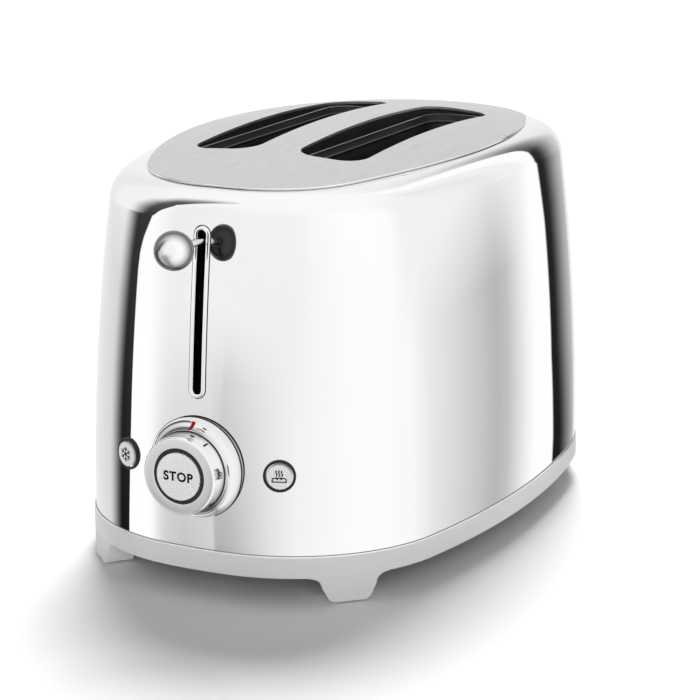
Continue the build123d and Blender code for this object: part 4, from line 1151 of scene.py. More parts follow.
@dataclass
class TopPlate:
    """Domed brushed plate with the two bread slots and a bright bead round it.

    Attributes:
        slot_x: how far each slot's middle stands from the plate's.
        slot: a slot's width, length and corner radius.
    """

    gauge: float = 1.2
    cell: float = 6.0
    rim_round: float = 0.35
    slot_x: float = 27.7
    slot: Point = (34.1, 153.8, 12.0)
    bead: float = 0.4
    bead_inset: float = 0.32
    bead_sink: float = 0.45

    def build(self) -> None:
        """Build the plate with rounded rims, and its bead."""
        rim = [(p.x, p.y) for p in FORM.plate.samples(4.0)]
        holes = [[(x + side * self.slot_x, y) for x, y in rounded_box(*self.slot, 10)] for side in (-1, 1)]
        plate = panel("plate_skin", [rim, *holes], self.cell,
                      lambda x, y, depth: (x, y, FORM.crown(x, y) - depth), self.gauge)
        dress(bevelled(plate, self.rim_round), "brushed_plate", "housing", "top_plate")
        ring = arc(self.bead_inset, self.bead_sink, self.bead, 180, 510, 11)
        sections = []
        for spot in FORM.plate.samples(3.0):
            flat = [(*spot.inward(inset), sink) for inset, sink in ring]
            sections.append([(x, y, FORM.crown(x, y) - sink) for x, y, sink in flat])
        dress(hoop("plate_bead", sections, 60.0), "bead_chrome", "housing")


@dataclass
class Wells:
    """Bright lips, turned-down skirts, linings and beads of the two bread wells.

    Attributes:
        well: a well's width, length and corner radius.
        ledge: height of the ledge that the well opens in.
        fold: height at which the lining ends and the bead starts.
        laid: how far a piece reaches past the face that it lies on.
    """

    plate: TopPlate
    well: Point = (29.0, 146.0, 9.0)
    ledge: float = 187.4
    lip: float = 0.8
    lip_rise: float = 0.3
    lip_round: float = 0.15
    skirt_low: float = 178.6
    skirt: float = 0.6
    lining: float = 0.25
    fold: float = 190.2
    bead: float = 0.6
    laid: float = 0.05

    @staticmethod
    def ring(name: str, centre: float, size: Point, section: Sequence[Flat]) -> Thing:
        """A ring round a rounded opening.

        Args:
            name: the piece's name.
            centre: x of the opening's middle.
            size: width, length and corner radius of the opening.
            section: distance out from the opening's edge, and height.

        Returns:
            The ring.
        """
        width, length, corner = size
        x0, y0 = width / 2 - corner, length / 2 - corner
        sections = []
        for x, y in rounded_box(width, length, corner, 8):
            dx, dy = x - max(-x0, min(x0, x)), y - max(-y0, min(y0, y))
            reach = math.hypot(dx, dy) or 1.0
            sections.append([(centre + x + dx / reach * out, y + dy / reach * out, z) for out, z in section])
        return hoop(name, sections, 40.0)

    def build(self) -> None:
        """Build lips, skirts, linings and beads."""
        top, fold, bead, r = self.ledge + self.lip_rise, self.fold, self.bead, self.lip_round
        foot = self.ledge - 0.1
        lip = [(0.0, foot), (0.0, top - r), (r, top), (self.lip, top), (self.lip, foot)]
        skirt = oblong(self.laid, self.skirt, self.skirt_low, self.ledge - r)
        lining = oblong(-self.lining, self.laid, self.ledge + self.laid, fold)
        half = bead / 2
        nose = [(-half, fold), (-half - 0.2, fold + r), (-half - 0.2, fold + bead - r), (-half, fold + bead),
                (self.laid, fold + bead), (self.laid, fold)]
        pieces = (("well_lip", self.well, lip, "well_steel"), ("well_skirt", self.well, skirt, "well_steel"),
                  ("slot_lining", self.plate.slot, lining, "well_steel"),
                  ("slot_bead", self.plate.slot, nose, "bead_chrome"))
        for side, hand in ((-1, "left"), (1, "right")):
            for name, size, section, finish in pieces:
                dress(self.ring(f"{name}_{hand}", side * self.plate.slot_x, size, section), finish, "housing")


@dataclass
class Band:
    """Moulded band with four feet, the bead on its top edge and a dark ring at the wall's foot, painted shade
    for the shadow gap between wall and band.
    """

    bottom: float = 12.8
    top: float = 23.2
    wall: float = 4.0
    lip: float = 0.7
    shelf: float = 20.2
    floor: float = 14.0
    floor_reach: float = 3.0
    bead: float = 0.44
    bead_inset: float = 0.48
    # Height of the painted shade ring at the wall's foot, either side of the band's top
    foot_shade_rise: float = 0.3
    foot_turn: float = 45.0
    foot_top: float = 20.4
    foot_neck: float = 13.1
    foot_drop: float = 5.0
    foot_tip: float = 9.8
    tip_round: float = 4.2
    foot_round: float = 0.45
    foot_depths: tuple[float, ...] = (0.03, 2.0, 5.0, 9.0, 14.0)
    ground: float = 0.8

    @staticmethod
    def ring(name: str, section: Sequence[Flat], sharp: float) -> Thing:
        """A closed ring round the body, from a section by distance in and height."""
        spots = FORM.plan.samples(3.0)
        return hoop(name, [[(*spot.inward(inset), z) for inset, z in section] for spot in spots], sharp)

    def moulding(self) -> Thing:
        """Returns: the band itself."""
        low, top, inner = self.bottom, self.top, self.wall + self.floor_reach
        return self.ring("band_ring", [
            (0.3, low), (0.08, low + 0.1), (0.0, low + 0.35), (0.0, top - 0.75), (0.08, top - 0.35),
            (0.25, top - 0.1), (0.45, top), (self.lip, top - 0.12), (self.lip, self.shelf),
            (self.wall, self.shelf), (self.wall, self.floor), (inner, self.floor), (inner, low)], 50.0)

    def foot_outline(self) -> list[Flat]:
        """Returns: a foot seen square on, with hollow shoulders, a straight taper and a rounded tip."""
        neck = (self.foot_neck, self.bottom - self.foot_drop)
        slope = math.degrees(math.atan2(self.foot_neck - self.foot_tip, neck[1] - self.ground))
        r = self.tip_round
        half = [(self.foot_top, self.bottom + 0.45)] + hollow((self.foot_top, self.bottom), neck, 8, 2.2, 1.6)
        half += arc(self.foot_tip - r * 0.72, self.ground + r, r, -slope, -90, 9)
        return half + [(-x, z) for x, z in reversed(half)]

    def foot(self, turn_x: int, turn_y: int) -> Thing:
        """One foot, its outer face flush with the band.

        Args:
            turn_x: -1 or 1, the foot's side.
            turn_y: -1 or 1, the foot's end.

        Returns:
            The foot.
        """
        outline = self.foot_outline()
        cx, cy, radius = FORM.plan.corner()
        layers = []
        for depth in self.foot_depths:
            turned = [(math.radians(self.foot_turn) + t / radius, z) for t, z in outline]
            reach = radius - depth
            layers.append([(turn_x * (cx + reach * math.cos(turn)), turn_y * (cy + reach * math.sin(turn)), z)
                           for turn, z in turned])
        return bevelled(prism(f"foot_{turn_x}_{turn_y}", layers), self.foot_round, 3, 50.0)

    def build(self) -> None:
        """Join the ring and its feet in one moulding, and lay the bead and the dark ring of painted shade at
        the wall's foot.
        """
        parts = [self.moulding()] + [self.foot(x, y) for x in (-1, 1) for y in (-1, 1)]
        whole = bmesh.new()
        for part in parts:
            whole.from_mesh(part.data)
            bpy.data.objects.remove(part)
        mesh = bpy.data.meshes.new("band_skin")
        whole.to_mesh(mesh)
        whole.free()
        dress(placed("band_skin", mesh), "band_plastic", "housing", "base_band")
        bead = arc(self.bead_inset, self.top - self.bead, self.bead, 180, -135, 7)
        dress(self.ring("band_bead", bead, 60.0), "bead_chrome", "housing")
        # A dark ring at the wall's foot: painted shade for the shadow gap between wall and band
        low, high, outer = self.top - self.foot_shade_rise, self.top + self.foot_shade_rise, self.lip - 0.02
        gasket = [(outer, low), (outer, high - 0.08), (outer + 0.06, high), (1.0, high), (1.0, low)]
        dress(self.ring("wall_gasket", gasket, 40.0), "gasket", "housing")


@dataclass
class Lever:
    """Ball lever, its stem and the bright frame round its slot.

    Attributes:
        land: how wide the frame's face is.
        reach: how far the ball's middle stands out of the wall.
        bends: how many steps follow the wall's bow along the slot.
    """

    height: float = 165.0
    slot_width: float = 4.2
    slot_low: float = 95.5
    slot_high: float = 169.5
    land: float = 2.0
    proud: float = 0.9
    depth: float = 4.5
    ball: float = 8.9
    reach: float = 25.0
    neck: float = 3.0
    neck_length: float = 1.2
    neck_edge: float = 0.3
    stem: float = 1.7
    stem_back: float = 38.0
    # Width of the dark ring of painted shade round the frame's foot
    shade_line: float = 0.3
    bends: int = 16

    def build_ball(self) -> None:
        """Ball with a short neck, and the stem behind it."""
        seat = FORM.front_seat(self.height)
        open_turn = math.degrees(math.asin(self.neck / self.ball))
        back = self.reach - self.ball - self.neck_length
        profile = [(self.stem, back), (self.neck - self.neck_edge, back), (self.neck, back + self.neck_edge)]
        profile += arc(0.0, self.reach, self.ball, open_turn - 90, 90, 40)
        dress(spun("ball_skin", profile, seat, 80), "satin_ball", "carriage", "lever_ball")
        tip = self.reach - 2.0
        stem = [(0.0, -self.stem_back), (self.stem, -self.stem_back), (self.stem, tip), (0.0, tip)]
        dress(spun("stem_skin", stem, seat, 40), "satin_chrome", "carriage", "lever_stem")

    def round_slot(self, name: str, section: Sequence[Flat]) -> Thing:
        """A ring that follows the wall round the slot.

        Args:
            name: the ring's name.
            section: distance out from the slot's edge, and how proud of the wall.

        Returns:
            The ring.
        """
        half, length = self.slot_width / 2, self.slot_high - self.slot_low
        middle, straight = (self.slot_high + self.slot_low) / 2, length / 2 - half
        sections = []
        for x, z in rounded_box(self.slot_width, length, half - 1e-4, 14):
            dz = z - max(-straight, min(straight, z))
            size = math.hypot(x, dz)
            spots = [(x + x / size * grow, z + dz / size * grow + middle, out) for grow, out in section]
            sections.append([(px, FORM.front(px, pz) - out, pz) for px, pz, out in spots])
        return self.follow_wall(hoop(name, sections, 32.0))

    def build_bezel(self) -> None:
        """Frame round the slot, and a thin dark ring round its foot: painted shade that shows as the shadow
        line of the gap there.
        """
        land, proud, depth = self.land, self.proud, self.depth
        section = [(land, -0.4), (land, 0.35), (land - 0.15, 0.7), (land - 0.5, proud), (0.6, proud),
                   (0.2, proud - 0.2), (0.0, proud - 0.6), (0.0, -depth), (0.9, -depth), (0.9, -0.4)]
        dress(self.round_slot("bezel_skin", section), "bright_chrome", "housing", "lever_bezel")
        # A thin dark ring at the frame's foot: painted shade for the shadow line of its gap
        shade_line = oblong(land - 0.1, land + self.shade_line, 0.02, 0.16)
        dress(self.round_slot("bezel_seal", shade_line), "ring_plastic", "housing")

    def follow_wall(self, thing: Thing) -> Thing:
        """Bend a piece's long straight sides to the bowed wall.

        Args:
            thing: the piece.

        Returns:
            The same piece.
        """
        half = self.slot_width / 2
        low, span = self.slot_low + half, self.slot_high - self.slot_low - 2 * half
        work = bmesh.new()
        work.from_mesh(thing.data)
        for k in range(1, self.bends):
            slit(work, (0, 0, (low + span * k / self.bends) * MM), (0, 0, 1), 1e-7)
        for corner in work.verts:
            x, z = corner.co.x / MM, corner.co.z / MM
            if low < z < low + span:
                share = (z - low) / span
                first, last = FORM.front(x, low), FORM.front(x, low + span)
                corner.co.y += (FORM.front(x, z) - first - (last - first) * share) * MM
        work.to_mesh(thing.data)
        work.free()
        return thing


@dataclass
class Dial:
    """Browning dial: fixed flared base, turning knob, dark ring and stop button.

    Attributes:
        base, neck: radius of the base at the wall and at the knob.
        boss: radius of the base behind the wall.
        gap: how far the knob runs clear of the base.
        mark: half the red mark's width.
    """

    height: float = 61.5
    base: float = 23.5
    neck: float = 19.3
    base_depth: float = 7.0
    base_sink: float = 2.6
    boss: float = 16.3
    boss_sink: float = 4.0
    gap: float = 0.4
    knob: float = 19.0
    knob_front: float = 18.2
    knob_length: float = 8.6
    rim: float = 1.2
    hub: float = 6.8
    hub_back: float = 18.0
    bore: float = 2.8
    ring_outer: float = 12.7
    ring_inner: float = 11.3
    ring_depth: float = 2.0
    ring_proud: float = 0.3
    stop: float = 11.1
    stop_thickness: float = 3.4
    stop_proud: float = 0.6
    stop_travel: float = 1.5
    stop_dish: float = 0.15
    stop_pin: float = 2.5
    stop_back: float = 20.0
    # Width of the dark ring of painted shade round the base's foot
    shade_line: float = 0.35
    mark: float = 0.85

    def seat(self) -> Seat:
        """The dial's axis."""
        return FORM.front_seat(self.height)

    def front(self) -> float:
        """Distance of the knob's face from the wall."""
        return self.base_depth + self.gap + self.knob_length

    def build_base(self) -> None:
        """Fixed base with a thin dark ring round its foot and a dark disc in the gap to the knob, both
        painted shade, and its red mark at the top.
        """
        seat, base, neck, depth = self.seat(), self.base, self.neck, self.base_depth
        hub, gap_shade_height = self.hub + 0.5, depth + 0.02
        cove = hollow((base, 0.7), (neck, depth - 0.3), 14, 2.1, 1.35)
        profile = [(hub, -self.boss_sink), (self.boss, -self.boss_sink), (self.boss, -self.base_sink),
                   (base, -self.base_sink), (base, 0.35), *cove, (neck - 0.1, depth - 0.08),
                   (neck - 0.35, depth), (hub, depth)]
        dress(spun("dial_base_skin", profile, seat, 120, True), "turned_chrome", "housing", "dial_base")
        # A thin dark ring round the base's foot: painted shade for the shadow line where it meets the wall
        edge = oblong(base - 0.2, base + self.shade_line, 0.05, 0.3)
        dress(spun("dial_seal", edge, seat, 120, True), "ring_plastic", "housing")
        # A dark disc in the gap between base and knob: painted shade for the gap's darkness
        disc = oblong(self.hub + 0.6, neck - 0.5, gap_shade_height, gap_shade_height + 0.1)
        dress(spun("dial_washer", disc, seat, 96, True), "ring_plastic", "housing")
        flank = cove[3:]
        points = [seat.place(side * self.mark, radius + 0.03, out + 0.04)
                  for radius, out in flank for side in (-1, 1)]
        faces = [(2 * k, 2 * k + 1, 2 * k + 3, 2 * k + 2) for k in range(len(flank) - 1)]
        dress(tidy_normals(build_mesh("index_mark", points, faces)), "red_ink", "housing")

    def build_knob(self) -> None:
        """Turning knob with its hollow spindle, a dark ring at its back edge that is painted shade for the
        gap behind it, and the dark ring in its face.
        """
        seat, knob, bore, hub = self.seat(), self.knob, self.bore, self.hub
        outer, inner = self.ring_outer, self.ring_inner
        back, front = self.base_depth + self.gap, self.front()
        start, end = front - self.ring_depth, back - self.hub_back
        floor = front + self.stop_proud - self.stop_thickness - self.stop_travel - 0.3
        rim = arc(self.knob_front - self.rim + 0.05, front - self.rim, self.rim, 5, 90, 7)
        profile = [(bore, end), (hub, end), (hub, back), (knob - 0.5, back), (knob - 0.12, back + 0.12),
                   (knob, back + 0.5), (knob - 0.45, back + 4.0), *rim, (outer + 0.35, front),
                   (outer, front - 0.25), (outer, start), (inner, start), (inner, floor), (bore, floor)]
        dress(spun("knob_skin", profile, seat, 120, True), "satin_chrome", "dial", "dial_knob")
        # A dark ring at the knob's back edge: painted shade for the gap to the base
        gap_shade_ring = oblong(knob - 0.5, knob + 0.07, back + 0.12, back + 0.62)
        dress(spun("knob_seam", gap_shade_ring, seat, 120, True), "ring_plastic", "dial")
        top = front + self.ring_proud
        ring = [(inner, start), (outer, start), (outer, front + 0.12), (outer - 0.2, top), (inner + 0.2, top),
                (inner, front + 0.12)]
        dress(spun("stop_ring_skin", ring, seat, 96, True), "ring_plastic", "dial", "stop_ring")

    def build_stop(self) -> None:
        """Stop button with a dished face."""
        front, stop, pin = self.front() + self.stop_proud, self.stop, self.stop_pin
        dish = [(stop * (1 - k / 10), front - self.stop_dish * (k / 10) ** 0.5) for k in range(1, 11)]
        end, under = front - self.stop_back, front - self.stop_thickness
        profile = [(0.0, end), (pin, end), (pin, under), (stop, under), (stop, front - 0.4),
                   (stop - 0.12, front - 0.12), (stop - 0.4, front), *dish]
        dress(spun("stop_button_skin", profile, self.seat()), "silver_cap", "stop", "stop_button")


class Glyphs:
    """Small printed marks, made as thin flat meshes and laid on a surface."""

    @staticmethod
    def word(name: str, text: str, size: float, spacing: float = 1.0, bold: float = 0.0) -> Drawn:
        """Outline a word as a flat mesh about its middle.

        Args:
            name: a name for the working curve.
            text: generic lettering only.
            size: the capitals' rough height in millimetres.
            spacing: letter spacing.
            bold: how far the outlines are grown.

        Returns:
            The flat points and the faces.
        """
        curve = bpy.data.curves.new(name, "FONT")
        curve.body, curve.size, curve.space_character = text, size / CAPITAL, spacing
        curve.align_x, curve.align_y, curve.fill_mode = "CENTER", "CENTER", "FRONT"
        curve.offset = bold
        thing = placed(name, curve)
        bpy.context.view_layer.update()
        mesh = bpy.data.meshes.new_from_object(thing.evaluated_get(bpy.context.evaluated_depsgraph_get()))
        work = bmesh.new()
        work.from_mesh(mesh)
        bmesh.ops.triangulate(work, faces=work.faces)
        low, high = min(v.co.x for v in work.verts), max(v.co.x for v in work.verts)
        for k in range(1, 12):
            slit(work, (low + (high - low) * k / 12, 0, 0), (1, 0, 0), 1e-6)
        work.verts.index_update()
        points = [(v.co.x, v.co.y) for v in work.verts]
        middle = (max(y for _, y in points) + min(y for _, y in points)) / 2
        faces = [[v.index for v in face.verts] for face in work.faces]
        work.free()
        bpy.data.objects.remove(thing)
        return [(x, y - middle) for x, y in points], faces

    @staticmethod
    def strokes(lines: Sequence[Sequence[Flat]], width: float) -> Drawn:
        """Draw lines, each segment a bar with a round at both ends.

        Args:
            lines: the lines' points.
            width: the lines' width.

        Returns:
            The flat points and the faces.
        """
        points: list[Flat] = []
        faces: Faces = []
        for line in lines:
            for (x1, y1), (x2, y2) in zip(line, line[1:]):
                turn = math.degrees(math.atan2(y2 - y1, x2 - x1))
                start = len(points)
                points += arc(x2, y2, width / 2, turn - 90, turn + 90, 6)
                points += arc(x1, y1, width / 2, turn + 90, turn + 270, 6)
                faces.append(list(range(start, len(points))))
        return points, faces

    @staticmethod
    def dome(wide: float, middle: float, rise: float) -> list[Flat]:
        """Half an ellipse, from right to left over the top."""
        turns = [math.radians(15 * k) for k in range(13)]
        return [(wide * math.cos(t), middle + rise * math.sin(t)) for t in turns]

    @staticmethod
    def snowflake(size: float) -> list[list[Flat]]:
        """Six branched arms.

        Args:
            size: an arm's length.

        Returns:
            The mark's lines.
        """
        lines: list[list[Flat]] = []
        for k in range(6):
            turn = math.radians(60 * k + 30)
            ux, uy = size * math.cos(turn), size * math.sin(turn)
            lines.append([(0.0, 0.0), (ux, uy)])
            x, y, reach = 0.55 * ux, 0.55 * uy, 0.36 * size
            for branch in (turn - math.radians(50), turn + math.radians(50)):
                lines.append([(x, y), (x + reach * math.cos(branch), y + reach * math.sin(branch))])
        return lines

    @staticmethod
    def slice_outline(size: float) -> list[list[Flat]]:
        """A slice of bread with a domed top and two lines across it.

        Args:
            size: half its height.

        Returns:
            The mark's lines.
        """
        w, low, high = size * 0.8, -size, size * 0.2
        dome = Glyphs.dome(w * 1.15, size * 0.35, size * 0.5)
        across = [[(-w * 0.5, y), (w * 0.5, y)] for y in (-size * 0.35, high)]
        return [[(-w, high), (-w, low), (w, low), (w, high), *dome, (-w, high)], *across]

    @staticmethod
    def warm_slice(size: float) -> list[list[Flat]]:
        """Three curls of heat over a loaf shape.

        Args:
            size: about half its height.

        Returns:
            The mark's lines.
        """
        lines: list[list[Flat]] = []
        for x in (-0.38 * size, 0.0, 0.38 * size):
            lines.append([(x + size * 0.1 * math.sin(t * math.pi / 2), size * (0.15 + 0.19 * t))
                          for t in range(5)])
        w, low, side, high = size * 0.95, 0.1 - size * 0.72, -size * 0.3, -size * 0.12
        lines += [Glyphs.dome(w, side, size * 0.2), [(-w, low), (w, low)]]
        lines += [[(turn * w, side), (turn * w * 1.02, low)] for turn in (-1, 1)]
        lines.append([(-w * 0.4, high - 0.35), (-w * 0.2, high - 0.7)])
        lines.append([(w * 0.15, high - 0.3), (w * 0.35, high - 0.65)])
        return lines

    @staticmethod
    def lay(name: str, drawn: Drawn, surface: Callable[[float, float], Point], finish: str,
            body: str) -> None:
        """Lay a drawn mark on a surface and dress it."""
        points, faces = drawn
        dress(build_mesh(name, [surface(u, v) for u, v in points], faces), finish, body)


@dataclass
class Markings:
    """Word, numbers and marks on the controls.

    Attributes:
        lift: how far a mark stands off its surface.
        dot: the dot's length and width.
        flank: how far from the knob's back the marks stand.
        first_turn: where the first mark stands.
        turn_step: how far the next one is turned from it.
    """

    dial: Dial
    lift: float = 0.04
    word_height: float = 4.1
    word_weight: float = 0.2
    word_spacing: float = 1.12
    number_height: float = 2.9
    number_weight: float = 0.22
    slice_share: float = 0.56
    line: float = 0.36
    dot: Flat = (1.1, 1.2)
    flank: float = 3.6
    flank_slope: float = 0.1
    marks: tuple[str, ...] = ("1", "slice", "2", "3", "4", "5", "6")
    first_turn: float = 53.0
    turn_step: float = -48.0
    dot_turn: float = 76.0

    def on_stop(self, u: float, v: float) -> Point:
        """A flat point on the stop button's face.

        Args:
            u: place across.
            v: place up.

        Returns:
            The point.
        """
        radius = math.hypot(u, v) / self.dial.stop
        sink = self.dial.stop_dish * max(0.0, 1 - radius) ** 0.5
        return self.dial.seat().place(u, v, self.dial.front() + self.dial.stop_proud + self.lift - sink)

    def on_flank(self, turn: float) -> Callable[[float, float], Point]:
        """Lays a flat mark on the knob's flank, its top towards the front.

        Args:
            turn: where it stands round the knob, in degrees.

        Returns:
            What gives a flat point's place.
        """
        back = self.dial.base_depth + self.dial.gap + self.flank

        def place(u: float, v: float) -> Point:
            """A flat point on the flank."""
            radius = self.dial.knob - self.flank_slope * (self.flank - v) + self.lift
            angle = math.radians(turn) - u / radius
            return self.dial.seat().place(radius * math.cos(angle), radius * math.sin(angle), back - v)

        return place

    def build(self) -> None:
        """Lay every mark of the dial."""
        drawn = Glyphs.word("word", "STOP", self.word_height, self.word_spacing, self.word_weight)
        Glyphs.lay("word_stop", drawn, self.on_stop, "print_ink", "stop")
        for place, mark in enumerate(self.marks):
            if mark == "slice":
                outline = Glyphs.slice_outline(self.number_height * self.slice_share)
                drawn = Glyphs.strokes(outline, self.line)
            else:
                drawn = Glyphs.word("number", mark, self.number_height, 1.0, self.number_weight)
            turn = self.first_turn + self.turn_step * place
            Glyphs.lay(f"scale_{mark}", drawn, self.on_flank(turn), "print_ink", "dial")
        length, width = self.dot
        dot = Glyphs.strokes([[(-length / 2, 0.0), (length / 2, 0.0)]], width)
        Glyphs.lay("scale_dot", dot, self.on_flank(self.dot_turn), "print_ink", "dial")


@dataclass
class SideButton:
    """A round push button in a dark ring, with its mark."""

    name: str
    side: int
    mark: list[list[Flat]]
    turn: float = 22.0
    height: float = 61.0
    ring: float = 7.5
    sleeve: float = 6.7
    sleeve_back: float = 3.4
    cap: float = 5.8
    crown: float = 0.12
    gap: float = 0.5
    ring_proud: float = 0.9
    proud: float = 1.6
    length: float = 7.0
    pin: float = 2.0
    pin_back: float = 10.2
    line: float = 0.55

    def build(self) -> None:
        """Build ring, cap and mark."""
        seat = FORM.side_seat(self.side, self.turn, self.height)
        bore, top, outer, cap, front = self.cap + self.gap, self.ring_proud, self.ring, self.cap, self.proud
        sleeve, low = self.sleeve, -self.sleeve_back
        section = [(bore, low), (sleeve, low), (sleeve, -1.0), (outer, -1.0), (outer, top - 0.35),
                   (outer - 0.12, top - 0.1), (outer - 0.35, top), (bore + 0.25, top), (bore, top - 0.25)]
        ring = spun(f"{self.name}_ring_skin", section, seat, 72, True)
        dress(ring, "ring_plastic", "housing", f"{self.name}_ring")
        back = front - self.length
        profile = [(0.0, -self.pin_back), (self.pin, -self.pin_back), (self.pin, back), (cap, back),
                   (cap, front - 0.45), (cap - 0.12, front - 0.15), (cap - 0.4, front)]
        profile += [(cap * (1 - k / 8), front + self.crown * (k / 8)) for k in range(1, 9)]
        button = spun(f"{self.name}_button_skin", profile, seat, 72)
        dress(button, "silver_cap", self.name, f"{self.name}_button")

        def place(u: float, v: float) -> Point:
            """A flat point on the cap."""
            return seat.place(u, v, front + self.crown * (1 - math.hypot(u, v) / cap) + 0.05)

        Glyphs.lay(f"{self.name}_mark", Glyphs.strokes(self.mark, self.line), place, "print_ink", self.name)


@dataclass
class Fastenings:
    """Screws, set out by one Geometry Nodes tree.

    Attributes:
        bite: how deep the cross reaches, as a share of the rise that it leaves.
        row_x, row_y: where the two rows of three stand.
        end_y: where the screw at each end stands.
    """

    head: float = 3.2
    rise: float = 1.3
    slot: float = 0.7
    bite: float = 0.45
    seed: int = 4
    row_x: float = 62.0
    row_y: float = 110.0
    end_y: float = 128.0

    def head_shape(self) -> Thing:
        """Returns: a low cross-slotted head about the origin, looking down."""
        rings = []
        for turn in (math.radians(15 * k) for k in range(6)):
            circle = arc(0.0, -MIDDLE_Y, self.head * math.cos(turn), 0, 360, 20)[:-1]
            rings.append([(x, y, -self.rise * math.sin(turn)) for x, y in circle])
        shape = prism("screw_shape", rings)
        for wide, deep in ((self.head * 1.2, self.slot), (self.slot, self.head * 1.2)):
            box = [(x, y - MIDDLE_Y, z) for x in (-wide / 2, wide / 2) for y in (-deep / 2, deep / 2)
                   for z in (-self.rise - 1, -self.rise * self.bite)]
            sides = [(0, 1, 3, 2), (4, 6, 7, 5), (0, 4, 5, 1), (2, 3, 7, 6), (0, 2, 6, 4), (1, 5, 7, 3)]
            cut(shape, [tidy_normals(build_mesh("cross", box, sides))])
        return shape

    @staticmethod
    def tree(shape: Thing) -> bpy.types.NodeTree:
        """One head on every point, scaled and turned from a seed, then made real.

        Args:
            shape: the head.

        Returns:
            The Geometry Nodes tree.
        """
        tree = bpy.data.node_groups.new("screws_on_points", "GeometryNodeTree")
        for label, kind in (("Geometry", "Geometry"), ("Scale", "Float"), ("Seed", "Int")):
            tree.interface.new_socket(label, in_out="INPUT", socket_type=f"NodeSocket{kind}")
        tree.interface.new_socket("Geometry", in_out="OUTPUT", socket_type="NodeSocketGeometry")
        sheet = Sheet(tree)
        given = sheet.add("NodeGroupInput").outputs
        turn = sheet.add("FunctionNodeRandomValue", {"Seed": given["Seed"], 0: (0, 0, 0), 1: (0, 0, 3.14)},
                         data_type="FLOAT_VECTOR").outputs["Value"]
        head = sheet.add("GeometryNodeObjectInfo", {"Object": shape}).outputs["Geometry"]
        heads = sheet.add("GeometryNodeInstanceOnPoints", {
            "Points": given["Geometry"], "Instance": head, "Rotation": turn, "Scale": given["Scale"]})
        real = sheet.add("GeometryNodeRealizeInstances", {"Geometry": heads.outputs["Instances"]})
        coated = sheet.add("GeometryNodeSetMaterial", {"Geometry": real.outputs["Geometry"],
                                                       "Material": MATERIALS["polished_rod"]})
        sheet.add("NodeGroupOutput", {"Geometry": coated.outputs["Geometry"]})
        return tree

    def build(self) -> None:
        """Set the base plate's screws."""
        shape = self.head_shape()
        tree = self.tree(shape)
        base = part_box("base_plate")[0][2] / MM
        spots = [(side * self.row_x, y, base) for side in (-1, 1) for y in (-self.row_y, 0, self.row_y)]
        spots += [(0, side * self.end_y, base) for side in (-1, 1)]
        screws = build_mesh("base_screws", spots, [])
        change = screws.modifiers.new("screws", "NODES")
        change.node_group = tree
        sockets = {item.name: item.identifier for item in tree.interface.items_tree if item.in_out == "INPUT"}
        change[sockets["Scale"]] = 1.0
        change[sockets["Seed"]] = self.seed
        bake(screws)
        bpy.data.objects.remove(shape)
        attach(screws, "housing")
        LOG.info("base_screws: %d heads", len(spots))


@dataclass
class Inside:
    """Finishes of the pieces that keep their own solids."""

    smooth: tuple[str, ...] = (
        "slot_frame", "cord_gland", "timer_body", "defrost_pod", "reheat_pod", "guide_rod_left",
        "guide_rod_right", "carriage", "return_spring", "terminal_block")

    def build(self) -> None:
        """Dress every node that no new piece replaces, with its doubles merged where it is curved."""
        bodies = frame["record"]["behaviour"]["bodies"]
        home = {node: body for body, nodes in bodies.items() for node in nodes}
        named = {entry["node"]: entry["material_slot"] for entry in reversed(frame["record"]["subparts"])}
        for node, thing in frame["nodes"].items():
            if node in REPLACED:
                continue
            finish = named.get(node, "sheet_steel")
            if node in self.smooth:
                dress(tidy_normals(placed(f"{node}_skin", thing.data.copy())), finish, home[node], node)
                continue
            if not thing.material_slots:
                thing.data.materials.append(MATERIALS[finish])
            for slot in thing.material_slots:
                slot.material = MATERIALS[finish]


@dataclass(frozen=True)
class Strip:
    """A dark strip of the room, sharp on one side and soft on the other, by height above the horizon.

    Attributes:
        soft_side: -1 where it softens towards smaller bearings, else 1.
        edge: bearing of the sharp side.
        core: width of the dark part.
        depth: how dark it is.
        softness: width of the soft flank.
    """

    soft_side: float
    edge: Graph
    core: Graph
    depth: Graph
    softness: Graph

    def share(self, sheet: Sheet, bearing: Socket, height: Socket) -> Socket:
        """How far the strip darkens a direction.

        Args:
            sheet: the world's sheet.
            bearing: the direction's bearing.
            height: its height in degrees.

        Returns:
            The share of dark.
        """
        edge = sheet.graph(height, self.edge, 360.0)
        inside = sheet.times(sheet.maths("SUBTRACT", bearing, edge), self.soft_side)
        past = sheet.maths("SUBTRACT", inside, sheet.graph(height, self.core, 90.0))
        soft = sheet.spread(past, 0.0, sheet.graph(height, self.softness, 90.0), 1.0, 0.0, "SMOOTHSTEP")
        dark = sheet.times(soft, sheet.spread(inside, -0.2, 0.5))
        return sheet.times(dark, sheet.graph(height, self.depth))


